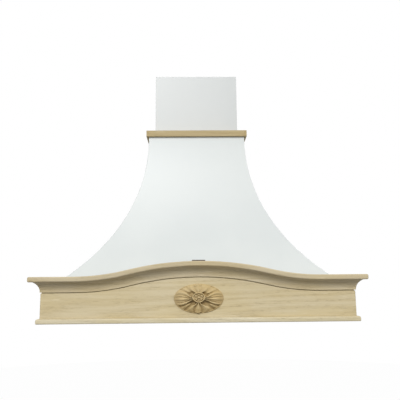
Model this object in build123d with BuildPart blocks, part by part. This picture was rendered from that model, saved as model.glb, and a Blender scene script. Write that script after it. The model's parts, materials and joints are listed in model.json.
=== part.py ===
"""Wooden range hood cover for a wall, with the extractor insert that it carries.

Frame: X to the right, Y towards the wall, Z up. The origin is the middle of the cover's
footprint, level with the underside of the bottom trim. All sizes are in millimetres.
"""

import os
from math import acos, cos, degrees, pi, sin, sqrt

from build123d import *

# ---------------------------------------------------------------- driving dimensions
# overall
DEPTH = 500.0  # wall to the front tip of the crown moulding
TRIM_WIDTH = 900.0  # across the bottom trim, the nominal size of the hood

# oak mantle frame
BOARD_THICKNESS = 18.0  # fascia boards
TRIM_HEIGHT = 14.0
TRIM_OVERHANG = 9.0  # how far the trim stands out from the fascia
TRIM_TOP_ROUND = 5.0
TRIM_BOTTOM_ROUND = 3.0
CROWN_TOP_Z = 129.0  # top of the crown at its flat ends
CROWN_HEIGHT = 43.0
CROWN_OVERHANG = 29.5
BAND_HEIGHT = 16.0  # bevelled band along the top of the crown
BAND_BEVEL = 2.5
BAND_UNDERCUT = 4.5  # step from the band back to the cove
COVE_RADIUS = 37.0
CROWN_LIP = 2.0  # what the crown's lower edge stands out from the fascia
ARCH_HALF_SPAN = 345.0
ARCH_RISE = 40.3
ARCH_HUMP_RADIUS = 870.0
QUIRK_WIDTH = 2.2  # dark groove under the crown
QUIRK_DEPTH = 2.5

# oak rosette
ROSETTE_WIDTH = 139.0
ROSETTE_HEIGHT = 81.0
ROSETTE_CENTRE_Z = 65.7
ROSETTE_PLATE = 4.0
ROSETTE_DISH = 2.5  # raised field inside the rim
ROSETTE_RIM = 6.0
PETAL_COUNT = 8
PETAL_RELIEF = 4.0
PETAL_WIDTH = 15.0
PETAL_TAPER = 25.0
PETAL_SHOULDER = 0.55  # widest place, as a share of the petal's length
CUP_RADIUS = 13.5
CUP_HEIGHT = 5.0

# white canopy
SKIN = 8.0  # bendable board
NECK_WIDTH = 319.0
NECK_DEPTH = 281.0  # wall to the front of the neck
FLARE_TOP_Z = 585.0  # where the flare leaves the straight neck
CANOPY_TOP_Z = 608.0
CANOPY_FIT = 1.5  # canopy foot to the inside of the fascia
PLY = 18.0  # sill, base panel, rails and neck ring
SILL_TOP_Z = 102.0
SILL_WIDTH = 75.0
BASE_PANEL_Z = 30.0  # underside of the base panel
PANEL_FIT = 0.4
BATTEN_WIDTH = 20.0
CORNER_BLOCK = 40.0
FORMER_THICKNESS = 15.0
FORMER_WIDTH = 34.0
MIDDLE_FORMER_Z = 252.0
LEDGE_TOP_Z = 400.0  # what the chimney's foot rests on
LEDGE_OPENING_WIDTH = 200.0
LEDGE_OPENING_DEPTH = 170.0
UPRIGHT_WIDTH = 34.0
UPRIGHT_FIT = 2.0  # upright to the slope of the canopy side, at its top
LOWER_RAIL_HEIGHT = 60.0
HANGING_RAIL_HEIGHT = 80.0
WALL_HOLE_RADIUS = 4.0
UPPER_HOLE_SPACING = 200.0
LOWER_HOLE_SPACING = 500.0

# oak collar
COLLAR_TOP_Z = 611.0
COLLAR_HEIGHT = 20.0
COLLAR_THICKNESS = 8.0

# steel bracket from the arch to the canopy
BRACKET_WIDTH = 37.0
BRACKET_THICKNESS = 3.0
BRACKET_SETBACK = 8.0  # behind the tip of the crown
BRACKET_DROP = 30.0

# chimney
CHIMNEY_WIDTH = 281.0
CHIMNEY_DEPTH = 240.0
CHIMNEY_TOP_Z = 821.5
CHIMNEY_WALL = 12.0
CHIMNEY_FIT = 0.5  # in the neck ring, all round
CHIMNEY_BATTEN = 25.0
STRETCHER_HEIGHT = 34.0

# extractor insert
INSERT_WIDTH = 600.0
INSERT_DEPTH = 300.0
INSERT_WALL_GAP = 35.0  # wall to the rear edge of the insert
SHEET = 1.5
FLANGE = 19.0  # panel edge outside the housing
HOUSING_HEIGHT = 170.0
HOUSING_FIT = 1.0  # in the base panel's cut-out

# grease filters
FILTER_BAR = 20.0  # panel left between the two filter openings
FILTER_SIDE = 21.0  # side of the opening to the side of the housing
FILTER_REAR = 12.0  # rear edge of the opening to the rear of the housing
FILTER_FRONT = 2.0  # front edge of the opening to the strip with lamps and switches
FILTER_THICKNESS = 8.0
FILTER_GAP = 0.5
FILTER_BORDER = 14.0
BAFFLE_COUNT = 9
BAFFLE_THICKNESS = 3.0
BAFFLE_SLOT = 7.0
PIVOT_RADIUS = 2.0
PIVOT_FIT = 0.05
PIVOT_REACH = 8.0  # pin in the filter frame
PIVOT_CHEEK = 6.0
LATCH_WIDTH = 36.0
LATCH_PAD_DEPTH = 12.0
LATCH_PAD_THICKNESS = 3.0
LATCH_PAD_ROUND = 1.0
LATCH_STEM_WIDTH = 24.0
LATCH_STEM_DEPTH = 4.0
LATCH_STEM_SET = 5.0  # stem behind the front edge of the filter
LATCH_BOLT_THICKNESS = 4.0
LATCH_TRAVEL = 3.0
LATCH_GAP = 0.3

# blower
SCROLL_HALF_WIDTH = 55.0
SCROLL_WALL = 2.0
SCROLL_RADIUS = 58.0  # at the tongue
SCROLL_STEP = 6.0  # growth per quarter turn
SCROLL_CENTRE_Z = 110.0
INLET_RADIUS = 42.0
IMPELLER_RADIUS = 50.0
IMPELLER_INNER_RADIUS = 40.0
IMPELLER_HALF_WIDTH = 49.0
IMPELLER_DISC = 1.5
IMPELLER_RING = 2.0
BLADE_COUNT = 16
BLADE_LENGTH = 10.0
BLADE_THICKNESS = 1.2
BLADE_ANGLE = 25.0
HUB_RADIUS = 10.0
HUB_LENGTH = 12.0
SHAFT_RADIUS = 4.0
SHAFT_FIT = 0.05
MOTOR_RADIUS = 30.0
MOTOR_LENGTH = 46.0
MOTOR_BORE_DEPTH = 34.0
SHAFT_REACH = 24.0  # shaft in the motor's bore
SPIDER_THICKNESS = 3.0
SPIDER_REACH = 6.0  # arm past the edge of the inlet
SPIDER_ARM = 12.0
FLANGE_PLATE = 2.0  # square plate that hangs the scroll under the housing top
FLANGE_PLATE_WIDTH = 164.0

# outlet
SPIGOT_RADIUS = 75.0
SPIGOT_LENGTH = 45.0
SPIGOT_FLANGE = 9.0
ROD_RADIUS = 1.5
ROD_FIT = 0.05
ROD_SETBACK = 0.3  # rod end inside the spigot's outer face
KNUCKLE_RADIUS = 3.0
KNUCKLE_LENGTH = 36.0
KNUCKLE_GAP = 0.6
DAMPER_THICKNESS = 1.0
DAMPER_GAP = 0.8
DAMPER_STOP = 4.0
DAMPER_STOP_WIDTH = 10.0
DAMPER_STOP_GAP = 0.2
DAMPER_Z = 20.0  # rod above the housing

# lamps and switches
LAMP_HALF_SPACING = 235.0
STRIP_DEPTH = 52.0  # front strip of the panel, for the lamps and switches
LAMP_HOLE_RADIUS = 18.0
LAMP_RING_RADIUS = 23.0
LAMP_RING_HEIGHT = 2.5
LAMP_LENS_RADIUS = 15.0
LAMP_LENS_THICKNESS = 1.5
LAMP_CAN_HEIGHT = 30.0
BEZEL_WIDTH = 120.0
BEZEL_DEPTH = 26.0
BEZEL_THICKNESS = 3.0
SWITCH_BODY_WIDTH = 104.0  # part of the switch unit that passes through the panel
SWITCH_BODY_DEPTH = 18.0
SWITCH_BODY_HEIGHT = 14.0
SWITCH_OFFSET = 30.0  # each switch from the middle
SWITCH_SLOT_DEPTH = 6.0
SWITCH_GAP = 0.4
KNOB_WIDTH = 10.0
KNOB_DEPTH = 14.0
KNOB_HEIGHT = 5.0
KNOB_ROUND = 1.5
STEM_WIDTH = 5.0
STEM_LENGTH = 9.0
FAN_TRAVEL = 24.0
LIGHT_TRAVEL = 10.0
GLAND_RADIUS = 8.0
GLAND_HEIGHT = 14.0
GLAND_BORE = 4.0
GLAND_NUT = 18.0
GLAND_SIDE = 8.0  # gland to the side of the ledge opening above it
GLAND_FRONT = 13.0  # and to its front edge
GLAND_NUT_HEIGHT = 5.0

# ---------------------------------------------------------------- places worked out from them
WALL_Y = DEPTH / 2
FASCIA_HALF = TRIM_WIDTH / 2 - TRIM_OVERHANG
FASCIA_Y = -WALL_Y + CROWN_OVERHANG
INNER_HALF = FASCIA_HALF - BOARD_THICKNESS
INNER_Y = FASCIA_Y + BOARD_THICKNESS
SIDE_LENGTH = WALL_Y - FASCIA_Y

ARCH_RADII = (ARCH_HALF_SPAN**2 + ARCH_RISE**2) / (2 * ARCH_RISE)  # hump and hollow together
ARCH_TURN_X = ARCH_HALF_SPAN * ARCH_HUMP_RADIUS / ARCH_RADII
ARCH_TURN_Z = ARCH_RISE * (1 - ARCH_HUMP_RADIUS / ARCH_RADII)

NECK_HALF = NECK_WIDTH / 2
FLARE_HEIGHT = FLARE_TOP_Z - SILL_TOP_Z
FOOT_HALF = INNER_HALF - CANOPY_FIT
FOOT_DEPTH = WALL_Y - INNER_Y - CANOPY_FIT

BASE_PANEL_TOP = BASE_PANEL_Z + PLY
SILL_Z = SILL_TOP_Z - PLY
RAIL_Y = WALL_Y - PLY
LEDGE_Z = LEDGE_TOP_Z - FORMER_THICKNESS
CHIMNEY_HALF = CHIMNEY_WIDTH / 2
CHIMNEY_Y = WALL_Y - CHIMNEY_DEPTH

PANEL_UNDER = BASE_PANEL_Z - SHEET
INSERT_REAR = WALL_Y - INSERT_WALL_GAP
INSERT_Y = INSERT_REAR - INSERT_DEPTH / 2
HOUSING_HALF = INSERT_WIDTH / 2 - FLANGE
HOUSING_FRONT = INSERT_REAR - INSERT_DEPTH + FLANGE
HOUSING_REAR = INSERT_REAR - FLANGE
HOUSING_TOP = BASE_PANEL_Z + HOUSING_HEIGHT
FILTER_REAR_Y = HOUSING_REAR - FILTER_REAR
FILTER_FRONT_Y = HOUSING_FRONT + STRIP_DEPTH + FILTER_FRONT
FILTER_OPENING_WIDTH = HOUSING_HALF - FILTER_SIDE - FILTER_BAR / 2
FILTER_OPENING_DEPTH = FILTER_REAR_Y - FILTER_FRONT_Y
FILTER_X = (FILTER_OPENING_WIDTH + FILTER_BAR) / 2
FILTER_Y = (FILTER_REAR_Y + FILTER_FRONT_Y) / 2
FILTER_WIDTH = FILTER_OPENING_WIDTH - 2 * FILTER_GAP
FILTER_DEPTH = FILTER_OPENING_DEPTH - 2 * FILTER_GAP
PIVOT_Y = FILTER_REAR_Y - FILTER_GAP - FILTER_THICKNESS / 2
PIVOT_Z = PANEL_UNDER + FILTER_THICKNESS / 2
STRIP_Y = HOUSING_FRONT + STRIP_DEPTH / 2

SPIGOT_Y = HOUSING_REAR - SPIGOT_RADIUS - SPIGOT_FLANGE - SHEET
SCROLL_Y = SPIGOT_Y - (SCROLL_RADIUS + 3 * SCROLL_STEP) / 2
ROD_Z = HOUSING_TOP + DAMPER_Z
GLAND_X = GLAND_SIDE - LEDGE_OPENING_WIDTH / 2
GLAND_Y = SPIGOT_Y - LEDGE_OPENING_DEPTH / 2 + GLAND_FRONT

LEFT_MITRE = Plane(origin=(-FASCIA_HALF, FASCIA_Y, 0), z_dir=(-1, 1, 0))
RIGHT_MITRE = Plane(origin=(FASCIA_HALF, FASCIA_Y, 0), z_dir=(1, 1, 0))


# ---------------------------------------------------------------- shared helpers
def save(piece, name):
    """Label a finished piece and write it to its own file."""
    piece.part.label = name
    export_step(piece.part, f"parts/{name}.step")


def save_pair(left, name):
    """Write a left-hand piece and its mirror image on the right."""
    save(left, f"left_{name}")
    with BuildPart() as right:
        mirror(left.part, about=Plane.YZ)
    save(right, f"right_{name}")


def board(x_min, x_max, y_min, y_max, z_min, z_max, mode=Mode.ADD):
    """A square-edged board between two corners."""
    with Locations(((x_min + x_max) / 2, (y_min + y_max) / 2, (z_min + z_max) / 2)):
        Box(x_max - x_min, y_max - y_min, z_max - z_min, mode=mode)


def arch_line(reach):
    """Top line of the mantle front: flat ends, two hollow arcs and a hump between them."""
    start = Line((-reach, CROWN_TOP_Z), (-ARCH_HALF_SPAN, CROWN_TOP_Z))
    turn_z = CROWN_TOP_Z + ARCH_TURN_Z
    left_hollow = TangentArc(start @ 1, (-ARCH_TURN_X, turn_z), tangent=start % 1)
    hump = TangentArc(left_hollow @ 1, (ARCH_TURN_X, turn_z), tangent=left_hollow % 1)
    right_hollow = TangentArc(hump @ 1, (ARCH_HALF_SPAN, CROWN_TOP_Z), tangent=hump % 1)
    Line(right_hollow @ 1, (reach, CROWN_TOP_Z))


def flare_radius(neck, foot):
    """Radius of the arc that leaves the neck upright and meets the foot of the canopy."""
    spread = foot - neck
    return (spread**2 + FLARE_HEIGHT**2) / (2 * spread)


def flare_reach(neck, foot, z, inset=0.0):
    """How far the canopy reaches out at height z, `inset` inside its outer face."""
    radius = flare_radius(neck, foot)
    drop = max(FLARE_TOP_Z - z, 0.0)
    return neck + radius - sqrt((radius + inset) ** 2 - drop**2)


def flare_line(edge, neck, foot, inset):
    """Half outline of the canopy from its top, down the flare, to the sill."""
    crest = Line((edge, CANOPY_TOP_Z), (edge - neck + inset, CANOPY_TOP_Z))
    straight = Line(crest @ 1, (edge - neck + inset, FLARE_TOP_Z))
    end = (edge - flare_reach(neck, foot, SILL_TOP_Z, inset), SILL_TOP_Z)
    flare = TangentArc(straight @ 1, end, tangent=straight % 1)
    Line(flare @ 1, (edge, SILL_TOP_Z))


def width_envelope(inset):
    """Solid between the two flared sides, `inset` inside the outer face."""
    with BuildPart() as envelope:
        with BuildSketch(Plane.XZ.offset(-WALL_Y)):
            with BuildLine():
                flare_line(0, NECK_HALF, FOOT_HALF, inset)
                mirror(about=Plane.YZ)
            make_face()
        extrude(amount=DEPTH)
    return envelope.part


def depth_envelope(inset):
    """Solid between the wall and the flared front, `inset` inside the outer face."""
    with BuildPart() as envelope:
        with BuildSketch(Plane.YZ):
            with BuildLine():
                flare_line(WALL_Y, NECK_DEPTH, FOOT_DEPTH, inset)
                Line((WALL_Y, SILL_TOP_Z), (WALL_Y, CANOPY_TOP_Z))
            make_face()
        extrude(amount=TRIM_WIDTH / 2, both=True)
    return envelope.part


def crown_profile(face):
    """Section of the crown: a bevelled band over a hollow cove, on a board `face` out."""
    tip = -face - CROWN_OVERHANG
    band_z = CROWN_TOP_Z - BAND_HEIGHT
    foot_z = CROWN_TOP_Z - CROWN_HEIGHT
    with BuildSketch(Plane.XY) as profile:
        with BuildLine():
            rim = Polyline(
                (-face, foot_z),
                (-face, CROWN_TOP_Z),
                (tip, CROWN_TOP_Z),
                (tip, band_z),
                (tip + BAND_UNDERCUT, band_z),
            )
            cove = RadiusArc(rim @ 1, (-face - CROWN_LIP, foot_z), -COVE_RADIUS)
            Line(cove @ 1, rim @ 0)
        make_face()
        chamfer(vertices().group_by(Axis.X)[0], BAND_BEVEL)
    return profile.sketch


def quirk_profile(face):
    """Section of the groove that runs along the fascia just under the crown."""
    with BuildSketch(Plane.XY) as profile:
        with Locations((-face, CROWN_TOP_Z - CROWN_HEIGHT)):
            Rectangle(QUIRK_DEPTH, QUIRK_WIDTH, align=(Align.MIN, Align.MAX))
    return profile.sketch


def trim_profile(face):
    """Section of the bottom trim, with its outer edges rounded."""
    with BuildSketch(Plane.XY) as profile:
        with Locations((-face - TRIM_OVERHANG, 0)):
            Rectangle(TRIM_OVERHANG + BOARD_THICKNESS, TRIM_HEIGHT, align=Align.MIN)
        outer = vertices().group_by(Axis.X)[0].sort_by(Axis.Y)
        fillet(outer[-1], TRIM_TOP_ROUND)
        outer = vertices().group_by(Axis.X)[0].sort_by(Axis.Y)
        fillet(outer[0], TRIM_BOTTOM_ROUND)
    return profile.sketch


def mitre_ends():
    """Cut both ends of a front piece at 45 degrees for the corner joints."""
    split(bisect_by=LEFT_MITRE, keep=Keep.BOTTOM)
    split(bisect_by=RIGHT_MITRE, keep=Keep.BOTTOM)


os.makedirs("parts", exist_ok=True)

# ---------------------------------------------------------------- oak mantle frame
with BuildPart() as front_fascia:
    with BuildSketch(Plane.XZ.offset(-FASCIA_Y)):
        with BuildLine():
            arch_line(FASCIA_HALF)
            Polyline(
                (-FASCIA_HALF, CROWN_TOP_Z),
                (-FASCIA_HALF, TRIM_HEIGHT),
                (FASCIA_HALF, TRIM_HEIGHT),
                (FASCIA_HALF, CROWN_TOP_Z),
            )
        make_face()
    extrude(amount=-BOARD_THICKNESS)
    with BuildLine(Plane.XZ):
        arch_line(FASCIA_HALF)
    with BuildSketch(Plane.YZ.offset(-FASCIA_HALF)):
        add(quirk_profile(-FASCIA_Y))
    sweep(mode=Mode.SUBTRACT)
    mitre_ends()
save(front_fascia, "front_fascia")

with BuildPart() as left_fascia:
    with BuildSketch(Plane.XZ.offset(-WALL_Y)):
        with BuildLine():
            Polyline(
                (-FASCIA_HALF, TRIM_HEIGHT),
                (-FASCIA_HALF, CROWN_TOP_Z),
                (-INNER_HALF, CROWN_TOP_Z),
                (-INNER_HALF, TRIM_HEIGHT),
                close=True,
            )
        make_face()
    extrude(amount=SIDE_LENGTH)
    with BuildSketch(Plane.XZ.offset(-WALL_Y)):
        add(quirk_profile(FASCIA_HALF))
    extrude(amount=SIDE_LENGTH, mode=Mode.SUBTRACT)
    split(bisect_by=LEFT_MITRE, keep=Keep.TOP)
save_pair(left_fascia, "fascia")

with BuildPart() as front_crown:
    with BuildLine(Plane.XZ):
        arch_line(FASCIA_HALF + CROWN_OVERHANG)
    with BuildSketch(Plane.YZ.offset(-FASCIA_HALF - CROWN_OVERHANG)):
        add(crown_profile(-FASCIA_Y))
    sweep()
    mitre_ends()
save(front_crown, "front_crown")

with BuildPart() as left_crown:
    with BuildSketch(Plane.XZ.offset(-WALL_Y)):
        add(crown_profile(FASCIA_HALF))
    extrude(amount=SIDE_LENGTH + CROWN_OVERHANG)
    split(bisect_by=LEFT_MITRE, keep=Keep.TOP)
save_pair(left_crown, "crown")

with BuildPart() as front_trim:
    with BuildSketch(Plane.YZ):
        add(trim_profile(-FASCIA_Y))
    extrude(amount=TRIM_WIDTH / 2, both=True)
    mitre_ends()
save(front_trim, "front_trim")

with BuildPart() as left_trim:
    with BuildSketch(Plane.XZ.offset(-WALL_Y)):
        add(trim_profile(FASCIA_HALF))
    extrude(amount=SIDE_LENGTH + TRIM_OVERHANG)
    split(bisect_by=LEFT_MITRE, keep=Keep.TOP)
save_pair(left_trim, "trim")

# ---------------------------------------------------------------- oak rosette
ROSETTE_FACE = Plane.XZ.offset(-FASCIA_Y).shift_origin((0, FASCIA_Y, ROSETTE_CENTRE_Z))
FIELD_WIDTH = ROSETTE_WIDTH / 2 - ROSETTE_RIM
FIELD_HEIGHT = ROSETTE_HEIGHT / 2 - ROSETTE_RIM


def petal(angle):
    """Outline of one petal, from the cup to the edge of the oval field."""
    reach = 1 / sqrt((cos(angle) / FIELD_WIDTH) ** 2 + (sin(angle) / FIELD_HEIGHT) ** 2)
    along = Vector(cos(angle), sin(angle))
    across = Vector(-sin(angle), cos(angle)) * (PETAL_WIDTH / 2)
    root = along * CUP_RADIUS
    tip = along * reach
    shoulder = root + (tip - root) * PETAL_SHOULDER
    with BuildSketch(Plane.XY) as outline:
        with BuildLine():
            Polyline(root, shoulder + across, tip, shoulder - across, close=True)
        make_face()
    return outline.sketch


with BuildPart() as rosette:
    with BuildSketch(ROSETTE_FACE):
        Ellipse(ROSETTE_WIDTH / 2, ROSETTE_HEIGHT / 2)
    extrude(amount=ROSETTE_PLATE)
    field = ROSETTE_FACE.offset(ROSETTE_PLATE)
    with BuildSketch(field):
        Ellipse(FIELD_WIDTH, FIELD_HEIGHT)
    extrude(amount=ROSETTE_DISH)
    crest = field.offset(ROSETTE_DISH)
    for index in range(PETAL_COUNT):
        with BuildSketch(crest):
            add(petal(2 * pi * index / PETAL_COUNT))
        extrude(amount=PETAL_RELIEF, taper=PETAL_TAPER)
    with BuildSketch(crest):
        RegularPolygon(CUP_RADIUS, PETAL_COUNT)
    extrude(amount=CUP_HEIGHT, taper=PETAL_TAPER)
save(rosette, "rosette")

# ---------------------------------------------------------------- white canopy
with BuildPart() as canopy_front:
    add(depth_envelope(0))
    add(depth_envelope(SKIN), mode=Mode.SUBTRACT)
    add(width_envelope(0), mode=Mode.INTERSECT)
save(canopy_front, "canopy_front")

with BuildPart() as canopy_side:
    add(width_envelope(0))
    add(width_envelope(SKIN), mode=Mode.SUBTRACT)
    add(depth_envelope(SKIN), mode=Mode.INTERSECT)
    split(bisect_by=Plane.YZ, keep=Keep.BOTTOM)
save_pair(canopy_side, "canopy")

# ---------------------------------------------------------------- oak collar round the neck
COLLAR_HALF = NECK_HALF + COLLAR_THICKNESS
NECK_Y = WALL_Y - NECK_DEPTH
COLLAR_Z = COLLAR_TOP_Z - COLLAR_HEIGHT

with BuildPart() as collar_front:
    board(-NECK_HALF, NECK_HALF, NECK_Y - COLLAR_THICKNESS, NECK_Y, COLLAR_Z, COLLAR_TOP_Z)
save(collar_front, "front_collar")

with BuildPart() as collar_side:
    board(-COLLAR_HALF, -NECK_HALF, NECK_Y - COLLAR_THICKNESS, WALL_Y, COLLAR_Z, COLLAR_TOP_Z)
save_pair(collar_side, "collar")

# ---------------------------------------------------------------- carcass inside the cover
with BuildPart() as front_sill:
    board(-INNER_HALF, INNER_HALF, INNER_Y, INNER_Y + SILL_WIDTH, SILL_Z, SILL_TOP_Z)
save(front_sill, "front_sill")

with BuildPart() as side_sill:
    board(-INNER_HALF, -INNER_HALF + SILL_WIDTH, INNER_Y + SILL_WIDTH, WALL_Y, SILL_Z, SILL_TOP_Z)
save_pair(side_sill, "sill")

with BuildPart() as panel_battens:
    batten_half = INNER_HALF - CORNER_BLOCK
    board(-batten_half, batten_half, INNER_Y, INNER_Y + BATTEN_WIDTH, BASE_PANEL_TOP, SILL_Z)
    for side in (-1, 1):
        outer, inner = sorted((side * INNER_HALF, side * (INNER_HALF - BATTEN_WIDTH)))
        board(outer, inner, INNER_Y + CORNER_BLOCK, WALL_Y, BASE_PANEL_TOP, SILL_Z)
save(panel_battens, "panel_battens")

with BuildPart() as corner_blocks:
    with BuildSketch(Plane.XY.offset(BASE_PANEL_TOP)):
        for side in (-1, 1):
            corner = (side * INNER_HALF, INNER_Y)
            along_front = (side * (INNER_HALF - CORNER_BLOCK), INNER_Y)
            along_side = (side * INNER_HALF, INNER_Y + CORNER_BLOCK)
            with BuildLine():
                Polyline(corner, along_front, along_side, close=True)
            make_face()
    extrude(amount=SILL_Z - BASE_PANEL_TOP)
save(corner_blocks, "corner_blocks")

with BuildPart() as base_panel:
    edge = INNER_HALF - PANEL_FIT
    board(-edge, edge, INNER_Y + PANEL_FIT, WALL_Y, BASE_PANEL_Z, BASE_PANEL_TOP)
    board(
        -HOUSING_HALF - HOUSING_FIT,
        HOUSING_HALF + HOUSING_FIT,
        HOUSING_FRONT - HOUSING_FIT,
        HOUSING_REAR + HOUSING_FIT,
        BASE_PANEL_Z,
        BASE_PANEL_TOP,
        mode=Mode.SUBTRACT,
    )
save(base_panel, "base_panel")

with BuildPart() as middle_former:
    level = (MIDDLE_FORMER_Z, MIDDLE_FORMER_Z + FORMER_THICKNESS)
    board(-TRIM_WIDTH / 2, TRIM_WIDTH / 2, -WALL_Y, RAIL_Y, *level)
    add(width_envelope(SKIN), mode=Mode.INTERSECT)
    add(depth_envelope(SKIN), mode=Mode.INTERSECT)
    half = flare_reach(NECK_HALF, FOOT_HALF, level[1], SKIN) - FORMER_WIDTH
    front = WALL_Y - flare_reach(NECK_DEPTH, FOOT_DEPTH, level[1], SKIN) + FORMER_WIDTH
    board(-half, half, front, RAIL_Y - FORMER_WIDTH, *level, mode=Mode.SUBTRACT)
save(middle_former, "middle_former")

with BuildPart() as ledge_former:
    board(-TRIM_WIDTH / 2, TRIM_WIDTH / 2, -WALL_Y, WALL_Y, LEDGE_Z, LEDGE_TOP_Z)
    add(width_envelope(SKIN), mode=Mode.INTERSECT)
    add(depth_envelope(SKIN), mode=Mode.INTERSECT)
    with Locations((0, SPIGOT_Y, (LEDGE_Z + LEDGE_TOP_Z) / 2)):
        Box(LEDGE_OPENING_WIDTH, LEDGE_OPENING_DEPTH, FORMER_THICKNESS, mode=Mode.SUBTRACT)
save(ledge_former, "ledge_former")

with BuildPart() as neck_ring:
    level = (CANOPY_TOP_Z - PLY, CANOPY_TOP_Z)
    board(-NECK_HALF + SKIN, NECK_HALF - SKIN, NECK_Y + SKIN, WALL_Y, *level)
    half = CHIMNEY_HALF + CHIMNEY_FIT
    board(-half, half, CHIMNEY_Y - CHIMNEY_FIT, WALL_Y, *level, mode=Mode.SUBTRACT)
save(neck_ring, "neck_ring")

with BuildPart() as lower_rail:
    rail_top = SILL_TOP_Z + LOWER_RAIL_HEIGHT
    rail_half = flare_reach(NECK_HALF, FOOT_HALF, rail_top, SKIN)
    board(-rail_half, rail_half, RAIL_Y, WALL_Y, SILL_TOP_Z, rail_top)
    with Locations(Plane.XZ.offset(-WALL_Y)):
        with Locations((0, SILL_TOP_Z + LOWER_RAIL_HEIGHT / 2)):
            with GridLocations(LOWER_HOLE_SPACING, 1, 2, 1):
                Hole(WALL_HOLE_RADIUS)
save(lower_rail, "lower_rail")

UPRIGHT_OUTER = flare_reach(NECK_HALF, FOOT_HALF, LEDGE_Z, SKIN) - UPRIGHT_FIT
UPRIGHT_INNER = UPRIGHT_OUTER - UPRIGHT_WIDTH
with BuildPart() as uprights:
    board(-UPRIGHT_OUTER, -UPRIGHT_INNER, RAIL_Y, WALL_Y, rail_top, LEDGE_Z)
    mirror(about=Plane.YZ)
save(uprights, "uprights")

with BuildPart() as hanging_rail:
    board(-UPRIGHT_INNER, UPRIGHT_INNER, RAIL_Y, WALL_Y, LEDGE_Z - HANGING_RAIL_HEIGHT, LEDGE_Z)
    with Locations(Plane.XZ.offset(-WALL_Y)):
        with Locations((0, LEDGE_Z - HANGING_RAIL_HEIGHT / 2)):
            with GridLocations(UPPER_HOLE_SPACING, 1, 2, 1):
                Hole(WALL_HOLE_RADIUS)
save(hanging_rail, "hanging_rail")

# ---------------------------------------------------------------- bracket behind the arch
BRACKET_Z = CROWN_TOP_Z + ARCH_RISE
with BuildPart() as arch_bracket:
    half = BRACKET_WIDTH / 2
    bracket_top = BRACKET_Z + BRACKET_THICKNESS
    board(-half, half, -WALL_Y, WALL_Y, BRACKET_Z - BRACKET_DROP, BRACKET_Z)
    add(depth_envelope(-BRACKET_THICKNESS), mode=Mode.INTERSECT)
    board(-half, half, -WALL_Y + BRACKET_SETBACK, WALL_Y, BRACKET_Z, bracket_top)
    add(depth_envelope(0), mode=Mode.SUBTRACT)
save(arch_bracket, "arch_bracket")

# ---------------------------------------------------------------- chimney
with BuildPart() as chimney_front:
    inner_y = CHIMNEY_Y + CHIMNEY_WALL
    board(-CHIMNEY_HALF, CHIMNEY_HALF, CHIMNEY_Y, inner_y, LEDGE_TOP_Z, CHIMNEY_TOP_Z)
save(chimney_front, "chimney_front")

with BuildPart() as chimney_side:
    inner = CHIMNEY_HALF - CHIMNEY_WALL
    board(-CHIMNEY_HALF, -inner, inner_y, WALL_Y, LEDGE_TOP_Z, CHIMNEY_TOP_Z)
save_pair(chimney_side, "chimney")

with BuildPart() as chimney_battens:
    section = (-inner, -inner + CHIMNEY_BATTEN, inner_y, inner_y + CHIMNEY_BATTEN)
    board(*section, LEDGE_TOP_Z, CHIMNEY_TOP_Z)
    mirror(about=Plane.YZ)
save(chimney_battens, "chimney_battens")

with BuildPart() as chimney_stretchers:
    for foot_z in (LEDGE_TOP_Z, CHIMNEY_TOP_Z - STRETCHER_HEIGHT):
        board(-inner, inner, WALL_Y - CHIMNEY_WALL, WALL_Y, foot_z, foot_z + STRETCHER_HEIGHT)
save(chimney_stretchers, "chimney_stretchers")

# ---------------------------------------------------------------- extractor insert: panel and housing
with BuildPart() as insert_panel:
    with BuildSketch(Plane.XY.offset(PANEL_UNDER)):
        with Locations((0, INSERT_Y)):
            Rectangle(INSERT_WIDTH, INSERT_DEPTH)
        with Locations((-FILTER_X, FILTER_Y), (FILTER_X, FILTER_Y)):
            Rectangle(FILTER_OPENING_WIDTH, FILTER_OPENING_DEPTH, mode=Mode.SUBTRACT)
        with Locations((-LAMP_HALF_SPACING, STRIP_Y), (LAMP_HALF_SPACING, STRIP_Y)):
            Circle(LAMP_HOLE_RADIUS, mode=Mode.SUBTRACT)
        with Locations((0, STRIP_Y)):
            Rectangle(SWITCH_BODY_WIDTH, SWITCH_BODY_DEPTH, mode=Mode.SUBTRACT)
    extrude(amount=SHEET)
save(insert_panel, "insert_panel")

with BuildPart() as housing_walls:
    wall = (BASE_PANEL_Z, HOUSING_TOP - SHEET)
    board(-HOUSING_HALF, HOUSING_HALF, HOUSING_FRONT, HOUSING_FRONT + SHEET, *wall)
    board(-HOUSING_HALF, HOUSING_HALF, HOUSING_REAR - SHEET, HOUSING_REAR, *wall)
    span = (HOUSING_FRONT + SHEET, HOUSING_REAR - SHEET)
    board(-HOUSING_HALF, -HOUSING_HALF + SHEET, *span, *wall)
    board(HOUSING_HALF - SHEET, HOUSING_HALF, *span, *wall)
save(housing_walls, "housing_walls")

with BuildPart() as housing_top:
    board(-HOUSING_HALF, HOUSING_HALF, HOUSING_FRONT, HOUSING_REAR, HOUSING_TOP - SHEET, HOUSING_TOP)
    with BuildSketch(Plane.XY.offset(HOUSING_TOP)):
        with Locations((0, SPIGOT_Y)):
            Circle(SPIGOT_RADIUS - SHEET)
        with Locations((GLAND_X, GLAND_Y)):
            Circle(GLAND_RADIUS)
    extrude(amount=-SHEET, mode=Mode.SUBTRACT)
save(housing_top, "housing_top")

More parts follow.
